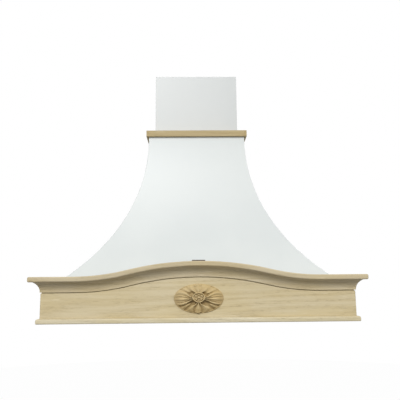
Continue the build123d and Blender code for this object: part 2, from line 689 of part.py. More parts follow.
with BuildPart() as cable_gland:
    with BuildSketch(Plane.XY.offset(HOUSING_TOP - SHEET - GLAND_NUT_HEIGHT)):
        with Locations((GLAND_X, GLAND_Y)):
            RegularPolygon(GLAND_NUT / 2, 6, rotation=30)
    extrude(amount=GLAND_NUT_HEIGHT)
    with BuildSketch(Plane.XY.offset(HOUSING_TOP)):
        with Locations((GLAND_X, GLAND_Y)):
            RegularPolygon(GLAND_NUT / 2, 6, rotation=30)
    extrude(amount=GLAND_NUT_HEIGHT)
    with BuildSketch(Plane.XY.offset(HOUSING_TOP - SHEET)):
        with Locations((GLAND_X, GLAND_Y)):
            Circle(GLAND_RADIUS)
    extrude(amount=SHEET + GLAND_HEIGHT)
    with BuildSketch(Plane.XY.offset(HOUSING_TOP + GLAND_HEIGHT)):
        with Locations((GLAND_X, GLAND_Y)):
            Circle(GLAND_BORE)
    extrude(amount=-GLAND_HEIGHT - SHEET - GLAND_NUT_HEIGHT, mode=Mode.SUBTRACT)
save(cable_gland, "cable_gland")

# ---------------------------------------------------------------- grease filters
with BuildPart() as hinge_cheeks:
    for side in (-1, 1):
        for edge in (-1, 1):
            rim = side * FILTER_X + edge * FILTER_OPENING_WIDTH / 2
            low, high = sorted((rim, rim + edge * PIVOT_CHEEK))
            half = FILTER_THICKNESS / 2
            board(low, high, PIVOT_Y - half, PIVOT_Y + half, BASE_PANEL_Z, PIVOT_Z + half)
            with BuildSketch(Plane.YZ.offset(rim)):
                with Locations((PIVOT_Y, PIVOT_Z)):
                    Circle(PIVOT_RADIUS)
            extrude(amount=-edge * (FILTER_GAP + PIVOT_REACH))
save(hinge_cheeks, "filter_hinges")

FRAME_FRONT = FILTER_FRONT_Y + FILTER_GAP
STEM_FRONT = FRAME_FRONT + LATCH_STEM_SET
STEM_REAR = STEM_FRONT + LATCH_STEM_DEPTH

with BuildPart() as filter_frame:
    with BuildSketch(Plane.YZ.offset(-FILTER_X)):
        with BuildLine():
            under = Line((PIVOT_Y, PANEL_UNDER), (FRAME_FRONT, PANEL_UNDER))
            front = Line(under @ 1, (FRAME_FRONT, PANEL_UNDER + FILTER_THICKNESS))
            top = Line(front @ 1, (PIVOT_Y, PANEL_UNDER + FILTER_THICKNESS))
            TangentArc(top @ 1, under @ 0, tangent=top % 1)
        make_face()
    extrude(amount=FILTER_WIDTH / 2, both=True)
    with BuildSketch(Plane.XY.offset(PANEL_UNDER)):
        with Locations((-FILTER_X, FILTER_Y)):
            Rectangle(FILTER_WIDTH - 2 * FILTER_BORDER, FILTER_DEPTH - 2 * FILTER_BORDER)
    extrude(amount=FILTER_THICKNESS, mode=Mode.SUBTRACT)
    stem_half = LATCH_STEM_WIDTH / 2 + LATCH_GAP
    pocket_half = LATCH_WIDTH / 2 + LATCH_GAP
    pocket_rear = STEM_REAR + LATCH_GAP
    frame_top = PANEL_UNDER + FILTER_THICKNESS
    slot_front = STEM_FRONT - LATCH_TRAVEL - LATCH_GAP
    slot = (-FILTER_X - stem_half, -FILTER_X + stem_half, slot_front, pocket_rear)
    pocket = (-FILTER_X - pocket_half, -FILTER_X + pocket_half, FRAME_FRONT, pocket_rear)
    board(*slot, PANEL_UNDER, frame_top, mode=Mode.SUBTRACT)
    board(*pocket, BASE_PANEL_Z, frame_top, mode=Mode.SUBTRACT)
    for edge, inward in ((-1, 1), (1, -1)):
        with BuildSketch(Plane.YZ.offset(-FILTER_X + edge * FILTER_WIDTH / 2)):
            with Locations((PIVOT_Y, PIVOT_Z)):
                Circle(PIVOT_RADIUS + PIVOT_FIT)
        extrude(amount=inward * (PIVOT_REACH + FILTER_GAP), mode=Mode.SUBTRACT)
save_pair(filter_frame, "filter_frame")

with BuildPart() as filter_baffle:
    baffle_width = FILTER_WIDTH - 2 * FILTER_BORDER
    baffle_depth = FILTER_DEPTH - 2 * FILTER_BORDER
    with BuildSketch(Plane.XY.offset(PIVOT_Z - BAFFLE_THICKNESS / 2)):
        with Locations((-FILTER_X, FILTER_Y)):
            Rectangle(baffle_width, baffle_depth)
            with GridLocations(baffle_width / BAFFLE_COUNT, 1, BAFFLE_COUNT, 1):
                Rectangle(BAFFLE_SLOT, baffle_depth - 2 * BAFFLE_SLOT, mode=Mode.SUBTRACT)
    extrude(amount=BAFFLE_THICKNESS)
save_pair(filter_baffle, "filter_baffle")

with BuildPart() as filter_latch:
    pad_top = PANEL_UNDER - LATCH_GAP
    bolt_z = BASE_PANEL_Z + LATCH_GAP
    half = LATCH_WIDTH / 2
    pad_y = (STEM_FRONT + STEM_REAR - LATCH_PAD_DEPTH) / 2
    pad = (-FILTER_X - half, -FILTER_X + half, pad_y, pad_y + LATCH_PAD_DEPTH)
    board(*pad, pad_top - LATCH_PAD_THICKNESS, pad_top)
    fillet(edges().group_by(Axis.Z)[0], LATCH_PAD_ROUND)
    stem_half = LATCH_STEM_WIDTH / 2
    board(-FILTER_X - stem_half, -FILTER_X + stem_half, STEM_FRONT, STEM_REAR, pad_top, bolt_z)
    bolt = (-FILTER_X - half, -FILTER_X + half, FRAME_FRONT, STEM_REAR)
    board(*bolt, bolt_z, bolt_z + LATCH_BOLT_THICKNESS)
save_pair(filter_latch, "filter_latch")

# ---------------------------------------------------------------- blower
BLOWER = (SCROLL_Y, SCROLL_CENTRE_Z)
SCROLL_TOP = HOUSING_TOP - SHEET - FLANGE_PLATE


def volute(inset):
    """Scroll outline: three quarter turns, each a step wider, then the outlet."""
    radius = SCROLL_RADIUS - inset
    tongue = degrees(acos(inset / radius))
    side_y = SCROLL_Y + SCROLL_STEP
    rise_z = SCROLL_CENTRE_Z + SCROLL_STEP
    with BuildSketch(Plane.XY) as outline:
        with BuildLine():
            first = CenterArc(BLOWER, radius, tongue, 180 - tongue)
            CenterArc((side_y, SCROLL_CENTRE_Z), radius + SCROLL_STEP, 180, 90)
            last = CenterArc((side_y, rise_z), radius + 2 * SCROLL_STEP, 270, 90)
            outlet_y = side_y + radius + 2 * SCROLL_STEP
            Polyline(last @ 1, (outlet_y, SCROLL_TOP), (SCROLL_Y + inset, SCROLL_TOP), first @ 0)
        make_face()
    return outline.sketch


with BuildPart() as blower_scroll:
    with BuildSketch(Plane.YZ):
        add(volute(0))
    extrude(amount=SCROLL_HALF_WIDTH, both=True)
    with BuildSketch(Plane.YZ):
        add(volute(SCROLL_WALL))
    extrude(amount=SCROLL_HALF_WIDTH - SCROLL_WALL, both=True, mode=Mode.SUBTRACT)
    with BuildSketch(Plane.YZ):
        with Locations(BLOWER):
            Circle(INLET_RADIUS)
    extrude(amount=SCROLL_HALF_WIDTH, both=True, mode=Mode.SUBTRACT)
save(blower_scroll, "blower_scroll")

with BuildPart() as outlet_plate:
    with BuildSketch(Plane.XY.offset(SCROLL_TOP)):
        with Locations((0, SPIGOT_Y)):
            Rectangle(FLANGE_PLATE_WIDTH, FLANGE_PLATE_WIDTH)
        mouth_front = SCROLL_Y + SCROLL_WALL
        mouth_rear = SCROLL_Y + SCROLL_RADIUS + 3 * SCROLL_STEP - SCROLL_WALL
        with Locations((0, (mouth_front + mouth_rear) / 2)):
            mouth_width = 2 * (SCROLL_HALF_WIDTH - SCROLL_WALL)
            Rectangle(mouth_width, mouth_rear - mouth_front, mode=Mode.SUBTRACT)
    extrude(amount=FLANGE_PLATE)
save(outlet_plate, "outlet_plate")

with BuildPart() as motor_spider:
    with BuildSketch(Plane.YZ.offset(-SCROLL_HALF_WIDTH)):
        with Locations(BLOWER):
            arm_span = 2 * (INLET_RADIUS + SPIDER_REACH)
            Rectangle(arm_span, SPIDER_ARM)
            Rectangle(SPIDER_ARM, arm_span)
    extrude(amount=-SPIDER_THICKNESS)
save(motor_spider, "motor_spider")

with BuildPart() as fan_motor:
    with BuildSketch(Plane.YZ.offset(-SCROLL_HALF_WIDTH)):
        with Locations(BLOWER):
            Circle(MOTOR_RADIUS)
    extrude(amount=MOTOR_LENGTH)
    with BuildSketch(Plane.YZ.offset(MOTOR_LENGTH - SCROLL_HALF_WIDTH)):
        with Locations(BLOWER):
            Circle(SHAFT_RADIUS + SHAFT_FIT)
    extrude(amount=-MOTOR_BORE_DEPTH, mode=Mode.SUBTRACT)
save(fan_motor, "fan_motor")

with BuildPart() as fan_shaft:
    with BuildSketch(Plane.YZ.offset(HUB_LENGTH / 2)):
        with Locations(BLOWER):
            Circle(SHAFT_RADIUS)
    extrude(amount=-HUB_LENGTH / 2 - SCROLL_HALF_WIDTH + MOTOR_LENGTH - SHAFT_REACH)
save(fan_shaft, "fan_shaft")

with BuildPart() as fan_impeller:
    with BuildSketch(Plane.YZ.offset(-IMPELLER_HALF_WIDTH)):
        with Locations(BLOWER):
            with PolarLocations((IMPELLER_RADIUS + IMPELLER_INNER_RADIUS) / 2, BLADE_COUNT):
                Rectangle(BLADE_LENGTH, BLADE_THICKNESS, rotation=BLADE_ANGLE)
    extrude(amount=2 * IMPELLER_HALF_WIDTH)
    for ring_x in (-IMPELLER_HALF_WIDTH, IMPELLER_HALF_WIDTH - IMPELLER_RING):
        with BuildSketch(Plane.YZ.offset(ring_x)):
            with Locations(BLOWER):
                RegularPolygon(IMPELLER_RADIUS, BLADE_COUNT)
                RegularPolygon(IMPELLER_INNER_RADIUS, BLADE_COUNT, mode=Mode.SUBTRACT)
        extrude(amount=IMPELLER_RING)
    with BuildSketch(Plane.YZ):
        with Locations(BLOWER):
            RegularPolygon(IMPELLER_RADIUS, BLADE_COUNT)
    extrude(amount=IMPELLER_DISC)
    with BuildSketch(Plane.YZ):
        with Locations(BLOWER):
            Circle(HUB_RADIUS)
    extrude(amount=HUB_LENGTH / 2, both=True)
    with BuildSketch(Plane.YZ):
        with Locations(BLOWER):
            Circle(SHAFT_RADIUS)
    extrude(amount=HUB_LENGTH / 2, both=True, mode=Mode.SUBTRACT)
save(fan_impeller, "fan_impeller")

# ---------------------------------------------------------------- outlet with backdraft flaps
SPIGOT_INNER = SPIGOT_RADIUS - SHEET

with BuildPart() as outlet_spigot:
    with BuildSketch(Plane.XY.offset(HOUSING_TOP)):
        with Locations((0, SPIGOT_Y)):
            flange_width = 2 * (SPIGOT_RADIUS + SPIGOT_FLANGE)
            Rectangle(flange_width, flange_width)
    extrude(amount=SHEET)
    with BuildSketch(Plane.XY.offset(HOUSING_TOP)):
        with Locations((0, SPIGOT_Y)):
            Circle(SPIGOT_RADIUS)
    extrude(amount=SPIGOT_LENGTH)
    with BuildSketch(Plane.XY.offset(HOUSING_TOP)):
        with Locations((0, SPIGOT_Y)):
            Circle(SPIGOT_INNER)
    extrude(amount=SPIGOT_LENGTH, mode=Mode.SUBTRACT)
    stop_top = ROD_Z - DAMPER_THICKNESS - DAMPER_STOP_GAP
    with BuildSketch(Plane.XY.offset(stop_top)):
        with Locations((0, SPIGOT_Y)):
            with PolarLocations(SPIGOT_INNER - DAMPER_STOP / 2 + SHEET / 2, 2, start_angle=90):
                Rectangle(DAMPER_STOP + SHEET, DAMPER_STOP_WIDTH)
            Circle(SPIGOT_RADIUS, mode=Mode.INTERSECT)
    extrude(amount=-DAMPER_STOP)
    with BuildSketch(Plane.YZ):
        with Locations((SPIGOT_Y, ROD_Z)):
            Circle(ROD_RADIUS + ROD_FIT)
    extrude(amount=SPIGOT_RADIUS, both=True, mode=Mode.SUBTRACT)
save(outlet_spigot, "outlet_spigot")

with BuildPart() as damper_rod:
    with BuildSketch(Plane.YZ):
        with Locations((SPIGOT_Y, ROD_Z)):
            Circle(ROD_RADIUS)
    extrude(amount=SPIGOT_RADIUS - ROD_SETBACK, both=True)
save(damper_rod, "damper_rod")

KNUCKLE_CLEAR = KNUCKLE_RADIUS + DAMPER_GAP / 2
for name, side in (("front_damper", -1), ("rear_damper", 1)):
    knuckle = side * (KNUCKLE_LENGTH + KNUCKLE_GAP) / 2
    with BuildPart() as damper:
        with BuildSketch(Plane.XY.offset(ROD_Z)):
            with Locations((0, SPIGOT_Y)):
                Circle(SPIGOT_INNER - DAMPER_GAP)
                with Locations((0, side * (KNUCKLE_CLEAR + SPIGOT_RADIUS))):
                    Rectangle(2 * SPIGOT_RADIUS, 2 * SPIGOT_RADIUS, mode=Mode.INTERSECT)
            with Locations((knuckle, SPIGOT_Y + side * KNUCKLE_CLEAR / 2)):
                Rectangle(KNUCKLE_LENGTH, KNUCKLE_CLEAR + DAMPER_GAP)
        extrude(amount=-DAMPER_THICKNESS)
        with BuildSketch(Plane.YZ.offset(knuckle)):
            with Locations((SPIGOT_Y, ROD_Z)):
                Circle(KNUCKLE_RADIUS)
        extrude(amount=KNUCKLE_LENGTH / 2, both=True)
        with BuildSketch(Plane.YZ):
            with Locations((SPIGOT_Y, ROD_Z)):
                Circle(ROD_RADIUS + ROD_FIT)
        extrude(amount=SPIGOT_RADIUS, both=True, mode=Mode.SUBTRACT)
    save(damper, name)

# ---------------------------------------------------------------- lamps
LAMPS = Locations((-LAMP_HALF_SPACING, STRIP_Y), (LAMP_HALF_SPACING, STRIP_Y))

with BuildPart() as lamp_housings:
    with BuildSketch(Plane.XY.offset(PANEL_UNDER)):
        with LAMPS:
            Circle(LAMP_RING_RADIUS)
    extrude(amount=-LAMP_RING_HEIGHT)
    with BuildSketch(Plane.XY.offset(PANEL_UNDER)):
        with LAMPS:
            Circle(LAMP_HOLE_RADIUS)
    extrude(amount=LAMP_CAN_HEIGHT)
    with BuildSketch(Plane.XY.offset(PANEL_UNDER - LAMP_RING_HEIGHT)):
        with LAMPS:
            Circle(LAMP_LENS_RADIUS)
    extrude(amount=LAMP_RING_HEIGHT + LAMP_CAN_HEIGHT - SHEET, mode=Mode.SUBTRACT)
save(lamp_housings, "lamp_housings")

with BuildPart() as lamp_lenses:
    with BuildSketch(Plane.XY.offset(PANEL_UNDER - LAMP_RING_HEIGHT + LAMP_LENS_THICKNESS)):
        with LAMPS:
            Circle(LAMP_LENS_RADIUS)
    extrude(amount=-LAMP_LENS_THICKNESS)
save(lamp_lenses, "lamp_lenses")

# ---------------------------------------------------------------- slide switches
with BuildPart() as switch_unit:
    bezel_z = PANEL_UNDER - BEZEL_THICKNESS
    with BuildSketch(Plane.XY.offset(PANEL_UNDER)):
        with Locations((0, STRIP_Y)):
            RectangleRounded(BEZEL_WIDTH, BEZEL_DEPTH, BEZEL_THICKNESS)
    extrude(amount=-BEZEL_THICKNESS)
    with BuildSketch(Plane.XY.offset(PANEL_UNDER)):
        with Locations((0, STRIP_Y)):
            Rectangle(SWITCH_BODY_WIDTH, SWITCH_BODY_DEPTH)
    extrude(amount=SWITCH_BODY_HEIGHT)
    with BuildSketch(Plane.XY.offset(bezel_z)):
        for place, travel in ((-SWITCH_OFFSET, FAN_TRAVEL), (SWITCH_OFFSET, LIGHT_TRAVEL)):
            with Locations((place + travel / 2, STRIP_Y)):
                Rectangle(STEM_WIDTH + travel + 2 * SWITCH_GAP, SWITCH_SLOT_DEPTH)
    extrude(amount=STEM_LENGTH + SWITCH_GAP, mode=Mode.SUBTRACT)
save(switch_unit, "switch_unit")

for name, place in (("fan_knob", -SWITCH_OFFSET), ("light_knob", SWITCH_OFFSET)):
    with BuildPart() as knob:
        with BuildSketch(Plane.XY.offset(bezel_z - SWITCH_GAP)):
            with Locations((place, STRIP_Y)):
                Rectangle(KNOB_WIDTH, KNOB_DEPTH)
        extrude(amount=-KNOB_HEIGHT)
        fillet(edges().group_by(Axis.Z)[0], KNOB_ROUND)
        with BuildSketch(Plane.XY.offset(bezel_z - SWITCH_GAP)):
            with Locations((place, STRIP_Y)):
                Rectangle(STEM_WIDTH, SWITCH_SLOT_DEPTH - 2 * SWITCH_GAP)
        extrude(amount=STEM_LENGTH)
    save(knob, name)
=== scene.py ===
"""Dressed scene of a wooden range hood cover.

The CAD frame gives every solid. This file adds the smooth mouldings, the white canopy, the
carved rosette, the small fittings, all finishes, the stage and the camera. It is laid out
as an add-on: one operator makes each group of pieces, and a sidebar panel lists them.
"""

import json
from math import atan2, cos, exp, hypot, pi, radians, sin, sqrt

import bpy
from bpy.props import FloatProperty, FloatVectorProperty, IntProperty, PointerProperty
from bpy.types import Operator, Panel, PropertyGroup
from mathutils import Matrix, Vector


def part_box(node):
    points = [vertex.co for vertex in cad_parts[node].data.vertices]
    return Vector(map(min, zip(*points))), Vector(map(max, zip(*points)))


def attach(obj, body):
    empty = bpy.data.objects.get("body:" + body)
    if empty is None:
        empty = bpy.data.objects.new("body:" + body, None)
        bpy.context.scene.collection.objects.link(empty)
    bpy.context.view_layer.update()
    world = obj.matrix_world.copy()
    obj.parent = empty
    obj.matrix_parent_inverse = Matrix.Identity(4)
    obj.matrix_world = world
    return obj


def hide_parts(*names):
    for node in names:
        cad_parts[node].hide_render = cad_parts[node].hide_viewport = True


bl_info = {
    "name": "Wooden Range Hood Cover",
    "version": (1, 0, 0),
    "blender": (4, 5, 0),
    "location": "View3D > Sidebar > Hood",
    "description": "Dresses the hood cover with its mouldings, canopy, carving and finishes",
    "category": "Object",
}

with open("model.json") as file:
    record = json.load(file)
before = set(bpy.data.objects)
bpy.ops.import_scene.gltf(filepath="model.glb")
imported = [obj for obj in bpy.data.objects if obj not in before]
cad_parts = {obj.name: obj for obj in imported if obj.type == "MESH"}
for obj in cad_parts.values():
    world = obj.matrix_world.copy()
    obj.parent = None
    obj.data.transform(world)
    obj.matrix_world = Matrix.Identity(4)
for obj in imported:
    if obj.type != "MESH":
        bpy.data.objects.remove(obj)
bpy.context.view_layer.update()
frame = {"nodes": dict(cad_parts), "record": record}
NODES = frame["nodes"]
SLOT_OF = {part["node"]: part["material_slot"] for part in frame["record"]["subparts"]}
COVER = "cover"

MM = 0.001
WALL_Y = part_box("lower_rail")[1].y
FASCIA_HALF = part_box("front_fascia")[1].x
FASCIA_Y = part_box("front_fascia")[0].y
CROWN_TIP_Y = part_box("front_crown")[0].y
CROWN_REACH = FASCIA_Y - CROWN_TIP_Y
CROWN_TOP_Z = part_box("left_crown")[1].z
ARCH_TOP_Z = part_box("front_crown")[1].z
CANOPY_FOOT_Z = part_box("left_canopy")[0].z
CANOPY_TOP_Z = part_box("left_canopy")[1].z


# ---------------------------------------------------------------- settings
def colour_setting(name, description, shares, highest=1):
    """Opaque colour, or a tone that a colour is multiplied by."""
    return FloatVectorProperty(
        name=name,
        description=description,
        subtype="COLOR",
        size=4,
        min=0,
        max=highest,
        default=(*shares, 1),
    )


def share_setting(name, description, share):
    """Share from 0 to 1."""
    return FloatProperty(
        name=name, description=description, subtype="FACTOR", min=0, max=1, default=share
    )


def length_setting(name, description, millimetres):
    """Length, with its default given in millimetres."""
    return FloatProperty(
        name=name, description=description, unit="LENGTH", default=millimetres * MM
    )


class HoodOakSettings(PropertyGroup):
    """Colours and grain of the raw oak."""

    light: colour_setting(
        "Light Oak", "Colour of the pale wood between the growth rings", (0.62, 0.535, 0.355)
    )
    dark: colour_setting(
        "Dark Oak", "Colour of the dense wood of the growth rings", (0.53, 0.44, 0.265)
    )
    carved: colour_setting(
        "Rosette Tone",
        "What the rosette's warmer board multiplies the oak colours by",
        (0.93, 0.85, 0.70),
    )
    moulding: colour_setting(
        "Moulding Tone",
        "What the crown moulding's board multiplies the oak colours by",
        (0.90, 0.90, 0.93),
    )
    collar: colour_setting(
        "Collar Tone",
        "What the collar's darker board multiplies the oak colours by",
        (0.73, 0.68, 0.57),
    )
    trim: colour_setting(
        "Trim Tone",
        "What the trim's greyer board multiplies the oak colours by",
        (1.03, 1.08, 1.19),
        highest=2,
    )
    pores: share_setting("Pores", "How dark the open pores of the oak are", 0.3)


class HoodPaintSettings(PropertyGroup):
    """White paint of the canopy, and a darker copy of it on the chimney as painted shade."""

    colour: colour_setting("Paint", "Colour of the satin paint", (0.625, 0.653, 0.642))
    # the chimney's colour is the canopy's white made a little darker and greyer, as painted shade
    chimney: colour_setting(
        "Chimney Paint",
        "Colour of the chimney, painted apart from the canopy and a little greyer",
        (0.548, 0.565, 0.556),
    )
    roughness: share_setting("Sheen Roughness", "Roughness of the dried paint film", 0.42)


class HoodMouldingSettings(PropertyGroup):
    """Section and path of the crown moulding along the top of the mantle."""

    height: length_setting("Crown Height", "From the top of the band to the foot of the cove", 43)
    band: length_setting("Band Height", "Height of the rounded band", 14.5)
    band_round: length_setting("Band Round", "Radius of the band's upper edge", 3.5)
    band_roll: length_setting(
        "Band Roll", "Radius of the band's lower edge, which rolls under", 4
    )
    undercut: length_setting("Undercut", "Step from the band's tip back to the cove", 5)
    quirk: length_setting(
        "Quirk",
        "How far the cove starts above the band's lower edge, which draws a dark line",
        2.2,
    )
    cove: length_setting("Cove Radius", "Radius of the hollow under the band", 30)
    lip: length_setting("Lip", "What the foot of the cove stands out from the fascia", 2)
    half_span: length_setting(
        "Arch Half Span", "From the middle to where the arch meets the flat end", 345
    )
    hump: length_setting("Hump Radius", "Radius of the raised middle of the arch", 870)


class HoodCanopySettings(PropertyGroup):
    """Flared white canopy between the mantle and the neck."""

    neck_half: length_setting("Neck Half Width", "Half of the width of the straight neck", 159.5)
    neck_depth: length_setting("Neck Depth", "From the wall to the front of the neck", 281)
    foot_half: length_setting(
        "Foot Half Width", "Half of the width at the foot of the flare", 421.5
    )
    foot_depth: length_setting(
        "Foot Depth", "From the wall to the front at the foot of the flare", 451
    )
    flare_top: length_setting("Flare Top", "Height at which the flare leaves the neck", 585)
    skin: length_setting("Skin", "Thickness of the bent board", 8)
    rows: IntProperty(
        name="Rows",
        description="Rows of faces from the foot to the neck",
        min=16,
        default=72,
    )


class HoodRosetteSettings(PropertyGroup):
    """Carved oval rosette in the middle of the fascia."""

    petals: IntProperty(
        name="Petals",
        description="Number of large petals round the cup",
        min=4,
        default=8,
    )
    relief: length_setting("Relief", "Height of the carving above the fascia", 11.5)


class HoodFittingSettings(PropertyGroup):
    """Screws, and the pressed blades of the grease filters."""

    screw_head: length_setting("Screw Head", "Radius of a screw head", 3.6)
    blade_gap: length_setting(
        "Blade Gap", "Slot between two baffle blades of a grease filter", 7
    )


class HoodStageSettings(PropertyGroup):
    """Floor and light round the object."""

    floor: FloatProperty(
        name="Floor",
        description="Height of the floor under the wall cover",
        unit="LENGTH",
        default=-1.5,
    )
    key: FloatProperty(
        name="Key Light",
        description="Power of the large lamp above the front",
        unit="POWER",
        default=153.0,
    )
    fill: share_setting("Fill", "Brightness of the white room round the object", 0.46)


class HoodSettings(PropertyGroup):
    """All settings of the hood cover."""

    oak: PointerProperty(type=HoodOakSettings)
    paint: PointerProperty(type=HoodPaintSettings)
    moulding: PointerProperty(type=HoodMouldingSettings)
    canopy: PointerProperty(type=HoodCanopySettings)
    rosette: PointerProperty(type=HoodRosetteSettings)
    fittings: PointerProperty(type=HoodFittingSettings)
    stage: PointerProperty(type=HoodStageSettings)


# ---------------------------------------------------------------- node helpers
VECTOR = "NodeSocketVector"
COLOUR = "NodeSocketColor"
VALUE = "NodeSocketFloat"
WHOLE_NUMBER = "NodeSocketInt"
GEOMETRY = "NodeSocketGeometry"
OBJECT = "NodeSocketObject"
MATERIAL = "NodeSocketMaterial"
SURFACE = (("Color", COLOUR), ("Height", VALUE), ("Roughness", VALUE))


def feed(tree, socket, value):
    """Link another node's output to a socket, or set the socket to a plain value."""
    if isinstance(value, bpy.types.NodeSocket):
        tree.links.new(value, socket)
    else:
        socket.default_value = value


def put(tree, kind, inputs=None, **settings):
    """Add a node, set its properties, and link or set its inputs by name or number."""
    node = tree.nodes.new(kind)
    for name, value in settings.items():
        setattr(node, name, value)
    for name, value in (inputs or {}).items():
        feed(tree, node.inputs[name], value)
    return node


def output(tree, kind, inputs=None, socket=0, **settings):
    """One output of a new node, by name or number."""
    return put(tree, kind, inputs, **settings).outputs[socket]


def math(tree, operation, *values):
    """Result of one Math node."""
    return output(tree, "ShaderNodeMath", dict(enumerate(values)), operation=operation)


def noise(tree, vector, scale, detail=3.0, roughness=0.5):
    """Noise value from 0 to 1 on a vector."""
    inputs = {"Vector": vector, "Scale": scale, "Detail": detail, "Roughness": roughness}
    return output(tree, "ShaderNodeTexNoise", inputs, "Fac")


def ramp(tree, value, low, high):
    """Value eased from 0 at low to 1 at high."""
    inputs = {"Value": value, "From Min": low, "From Max": high}
    return output(tree, "ShaderNodeMapRange", inputs, "Result", interpolation_type="SMOOTHSTEP")


def blended(tree, factor, first, second, mode="MIX"):
    """Colour between two colours."""
    inputs = {0: factor, 6: first, 7: second}
    return output(tree, "ShaderNodeMix", inputs, 2, data_type="RGBA", blend_type=mode)


def multiplied(tree, colour, tone):
    """Colour multiplied by a tone."""
    return blended(tree, 1.0, colour, tone, "MULTIPLY")


def tinted(tree, mask, share, base, colour):
    """Base colour, with a share of another colour where the mask is 1."""
    return blended(tree, math(tree, "MULTIPLY", mask, share), base, colour)


def new_group(name, inputs, outputs=SURFACE, kind="ShaderNodeTree"):
    """Node group with named sockets; returns it, its given values and its result node."""
    tree = bpy.data.node_groups.new(name, kind)
    for label, socket, *value in inputs:
        made = tree.interface.new_socket(name=label, in_out="INPUT", socket_type=socket)
        if value:
            made.default_value = value[0]
    for label, socket in outputs:
        tree.interface.new_socket(name=label, in_out="OUTPUT", socket_type=socket)
    return tree, tree.nodes.new("NodeGroupInput").outputs, tree.nodes.new("NodeGroupOutput")


def close_group(tree, result, *values):
    """Link the values to the group's outputs, in their order."""
    for number, value in enumerate(values):
        tree.links.new(value, result.inputs[number])


def place_group(tree, name, inputs):
    """Outputs of a shared shader group that is placed in a material."""
    group = bpy.data.node_groups[name]
    return put(tree, "ShaderNodeGroup", inputs, node_tree=group).outputs


def emptied_tree(owner):
    """Node tree of a material or a world, with every node taken out."""
    owner.use_nodes = True
    owner.node_tree.nodes.clear()
    return owner.node_tree


# ---------------------------------------------------------------- shared shader groups
PORE_BROWN = (0.16, 0.11, 0.06, 1)
PALE_FLECK = (0.78, 0.70, 0.52, 1)
WARM_PATCH = (0.985, 0.965, 0.895, 1)


def build_wood_grain():
    """Growth rings, fine streaks and open pores, running along the X of the coordinates."""
    tree, given, result = new_group(
        "Wood Grain",
        [
            ("Coordinates", VECTOR),
            ("Light", COLOUR, (0.6, 0.5, 0.3, 1)),
            ("Dark", COLOUR, (0.5, 0.4, 0.25, 1)),
            ("Rings", VALUE, 1.0),
            ("Pores", VALUE, 0.3),
        ],
    )

    def stretched_noise(scale, detail, roughness=0.5):
        """Noise on the coordinates, with its own scale along each axis."""
        inputs = {"Vector": given["Coordinates"], "Scale": scale}
        return noise(tree, output(tree, "ShaderNodeMapping", inputs), 1.0, detail, roughness)

    figure = stretched_noise((0.7, 9, 9), 1.0)
    rings = ramp(tree, math(tree, "SINE", math(tree, "MULTIPLY", figure, 90.0)), -0.9, 1.0)
    streaks = stretched_noise((6, 240, 240), 4.0, 0.6)
    tone = math(tree, "MULTIPLY", rings, given["Rings"])
    tone = math(tree, "MULTIPLY_ADD", tone, 0.2, math(tree, "MULTIPLY", streaks, 0.85))
    colour = blended(tree, ramp(tree, tone, 0.15, 0.9), given["Light"], given["Dark"])
    patches = ramp(tree, stretched_noise((5, 22, 22), 2.0), 0.4, 0.62)
    colour = blended(tree, patches, colour, multiplied(tree, colour, WARM_PATCH))
    pores = ramp(tree, stretched_noise((55, 800, 800), 2.0), 0.56, 0.68)
    pores = math(tree, "MULTIPLY", pores, math(tree, "MULTIPLY_ADD", rings, 0.7, 0.3))
    colour = tinted(tree, pores, given["Pores"], colour, PORE_BROWN)
    flecks = ramp(tree, stretched_noise((16, 240, 120), 1.0), 0.66, 0.74)
    colour = tinted(tree, flecks, 0.22, colour, PALE_FLECK)
    fibres = stretched_noise((28, 900, 900), 2.0)
    height = math(tree, "MULTIPLY_ADD", fibres, 0.35, math(tree, "MULTIPLY", pores, -1.0))
    rough = math(tree, "MULTIPLY_ADD", streaks, 0.18, 0.56)
    close_group(tree, result, colour, height, rough)


def build_worn_edge_and_crevice_shade():
    """Rounded normal at sharp edges, a mask of rubbed edges, and a crevice mask from ambient occlusion
    for painted shade.
    """
    tree, given, result = new_group(
        "Worn Edge",
        [
            ("Coordinates", VECTOR),
            ("Radius", VALUE, 1.0 * MM),
            ("Breakup", VALUE, 60.0),
            ("Crevice Reach", VALUE, 6.0 * MM),
        ],
        [("Normal", VECTOR), ("Wear", VALUE), ("Crevice", VALUE)],
    )
    rounded = output(tree, "ShaderNodeBevel", {"Radius": given["Radius"]}, samples=6)
    flat = output(tree, "ShaderNodeNewGeometry", socket="True Normal")
    normals = {0: rounded, 1: flat}
    facing = output(tree, "ShaderNodeVectorMath", normals, "Value", operation="DOT_PRODUCT")
    broken = ramp(tree, noise(tree, given["Coordinates"], given["Breakup"]), 0.35, 0.62)
    wear = math(tree, "MULTIPLY", ramp(tree, facing, 0.985, 0.86), broken)
    # the crevice mask is ambient occlusion, which the finishes turn into painted shade
    reach = {"Distance": given["Crevice Reach"]}
    openness = output(tree, "ShaderNodeAmbientOcclusion", reach, "AO", samples=8)
    close_group(tree, result, rounded, wear, ramp(tree, openness, 0.75, 0.2))


def build_paint_film():
    """Fine roller texture and faint unevenness of a sprayed or rolled coat."""
    tree, given, result = new_group(
        "Paint Film",
        [
            ("Coordinates", VECTOR),
            ("Color", COLOUR, (0.8, 0.8, 0.8, 1)),
            ("Grain", VALUE, 420.0),
            ("Roughness", VALUE, 0.4),
        ],
    )
    clouds = noise(tree, given["Coordinates"], 5.0)
    peel = noise(tree, given["Coordinates"], given["Grain"], 2.0)
    darker = multiplied(tree, given["Color"], (0.955, 0.96, 0.965, 1))
    colour = blended(tree, ramp(tree, clouds, 0.3, 0.7), darker, given["Color"])
    rough = math(tree, "MULTIPLY_ADD", clouds, 0.12, given["Roughness"])
    close_group(tree, result, colour, peel, math(tree, "SUBTRACT", rough, 0.06))


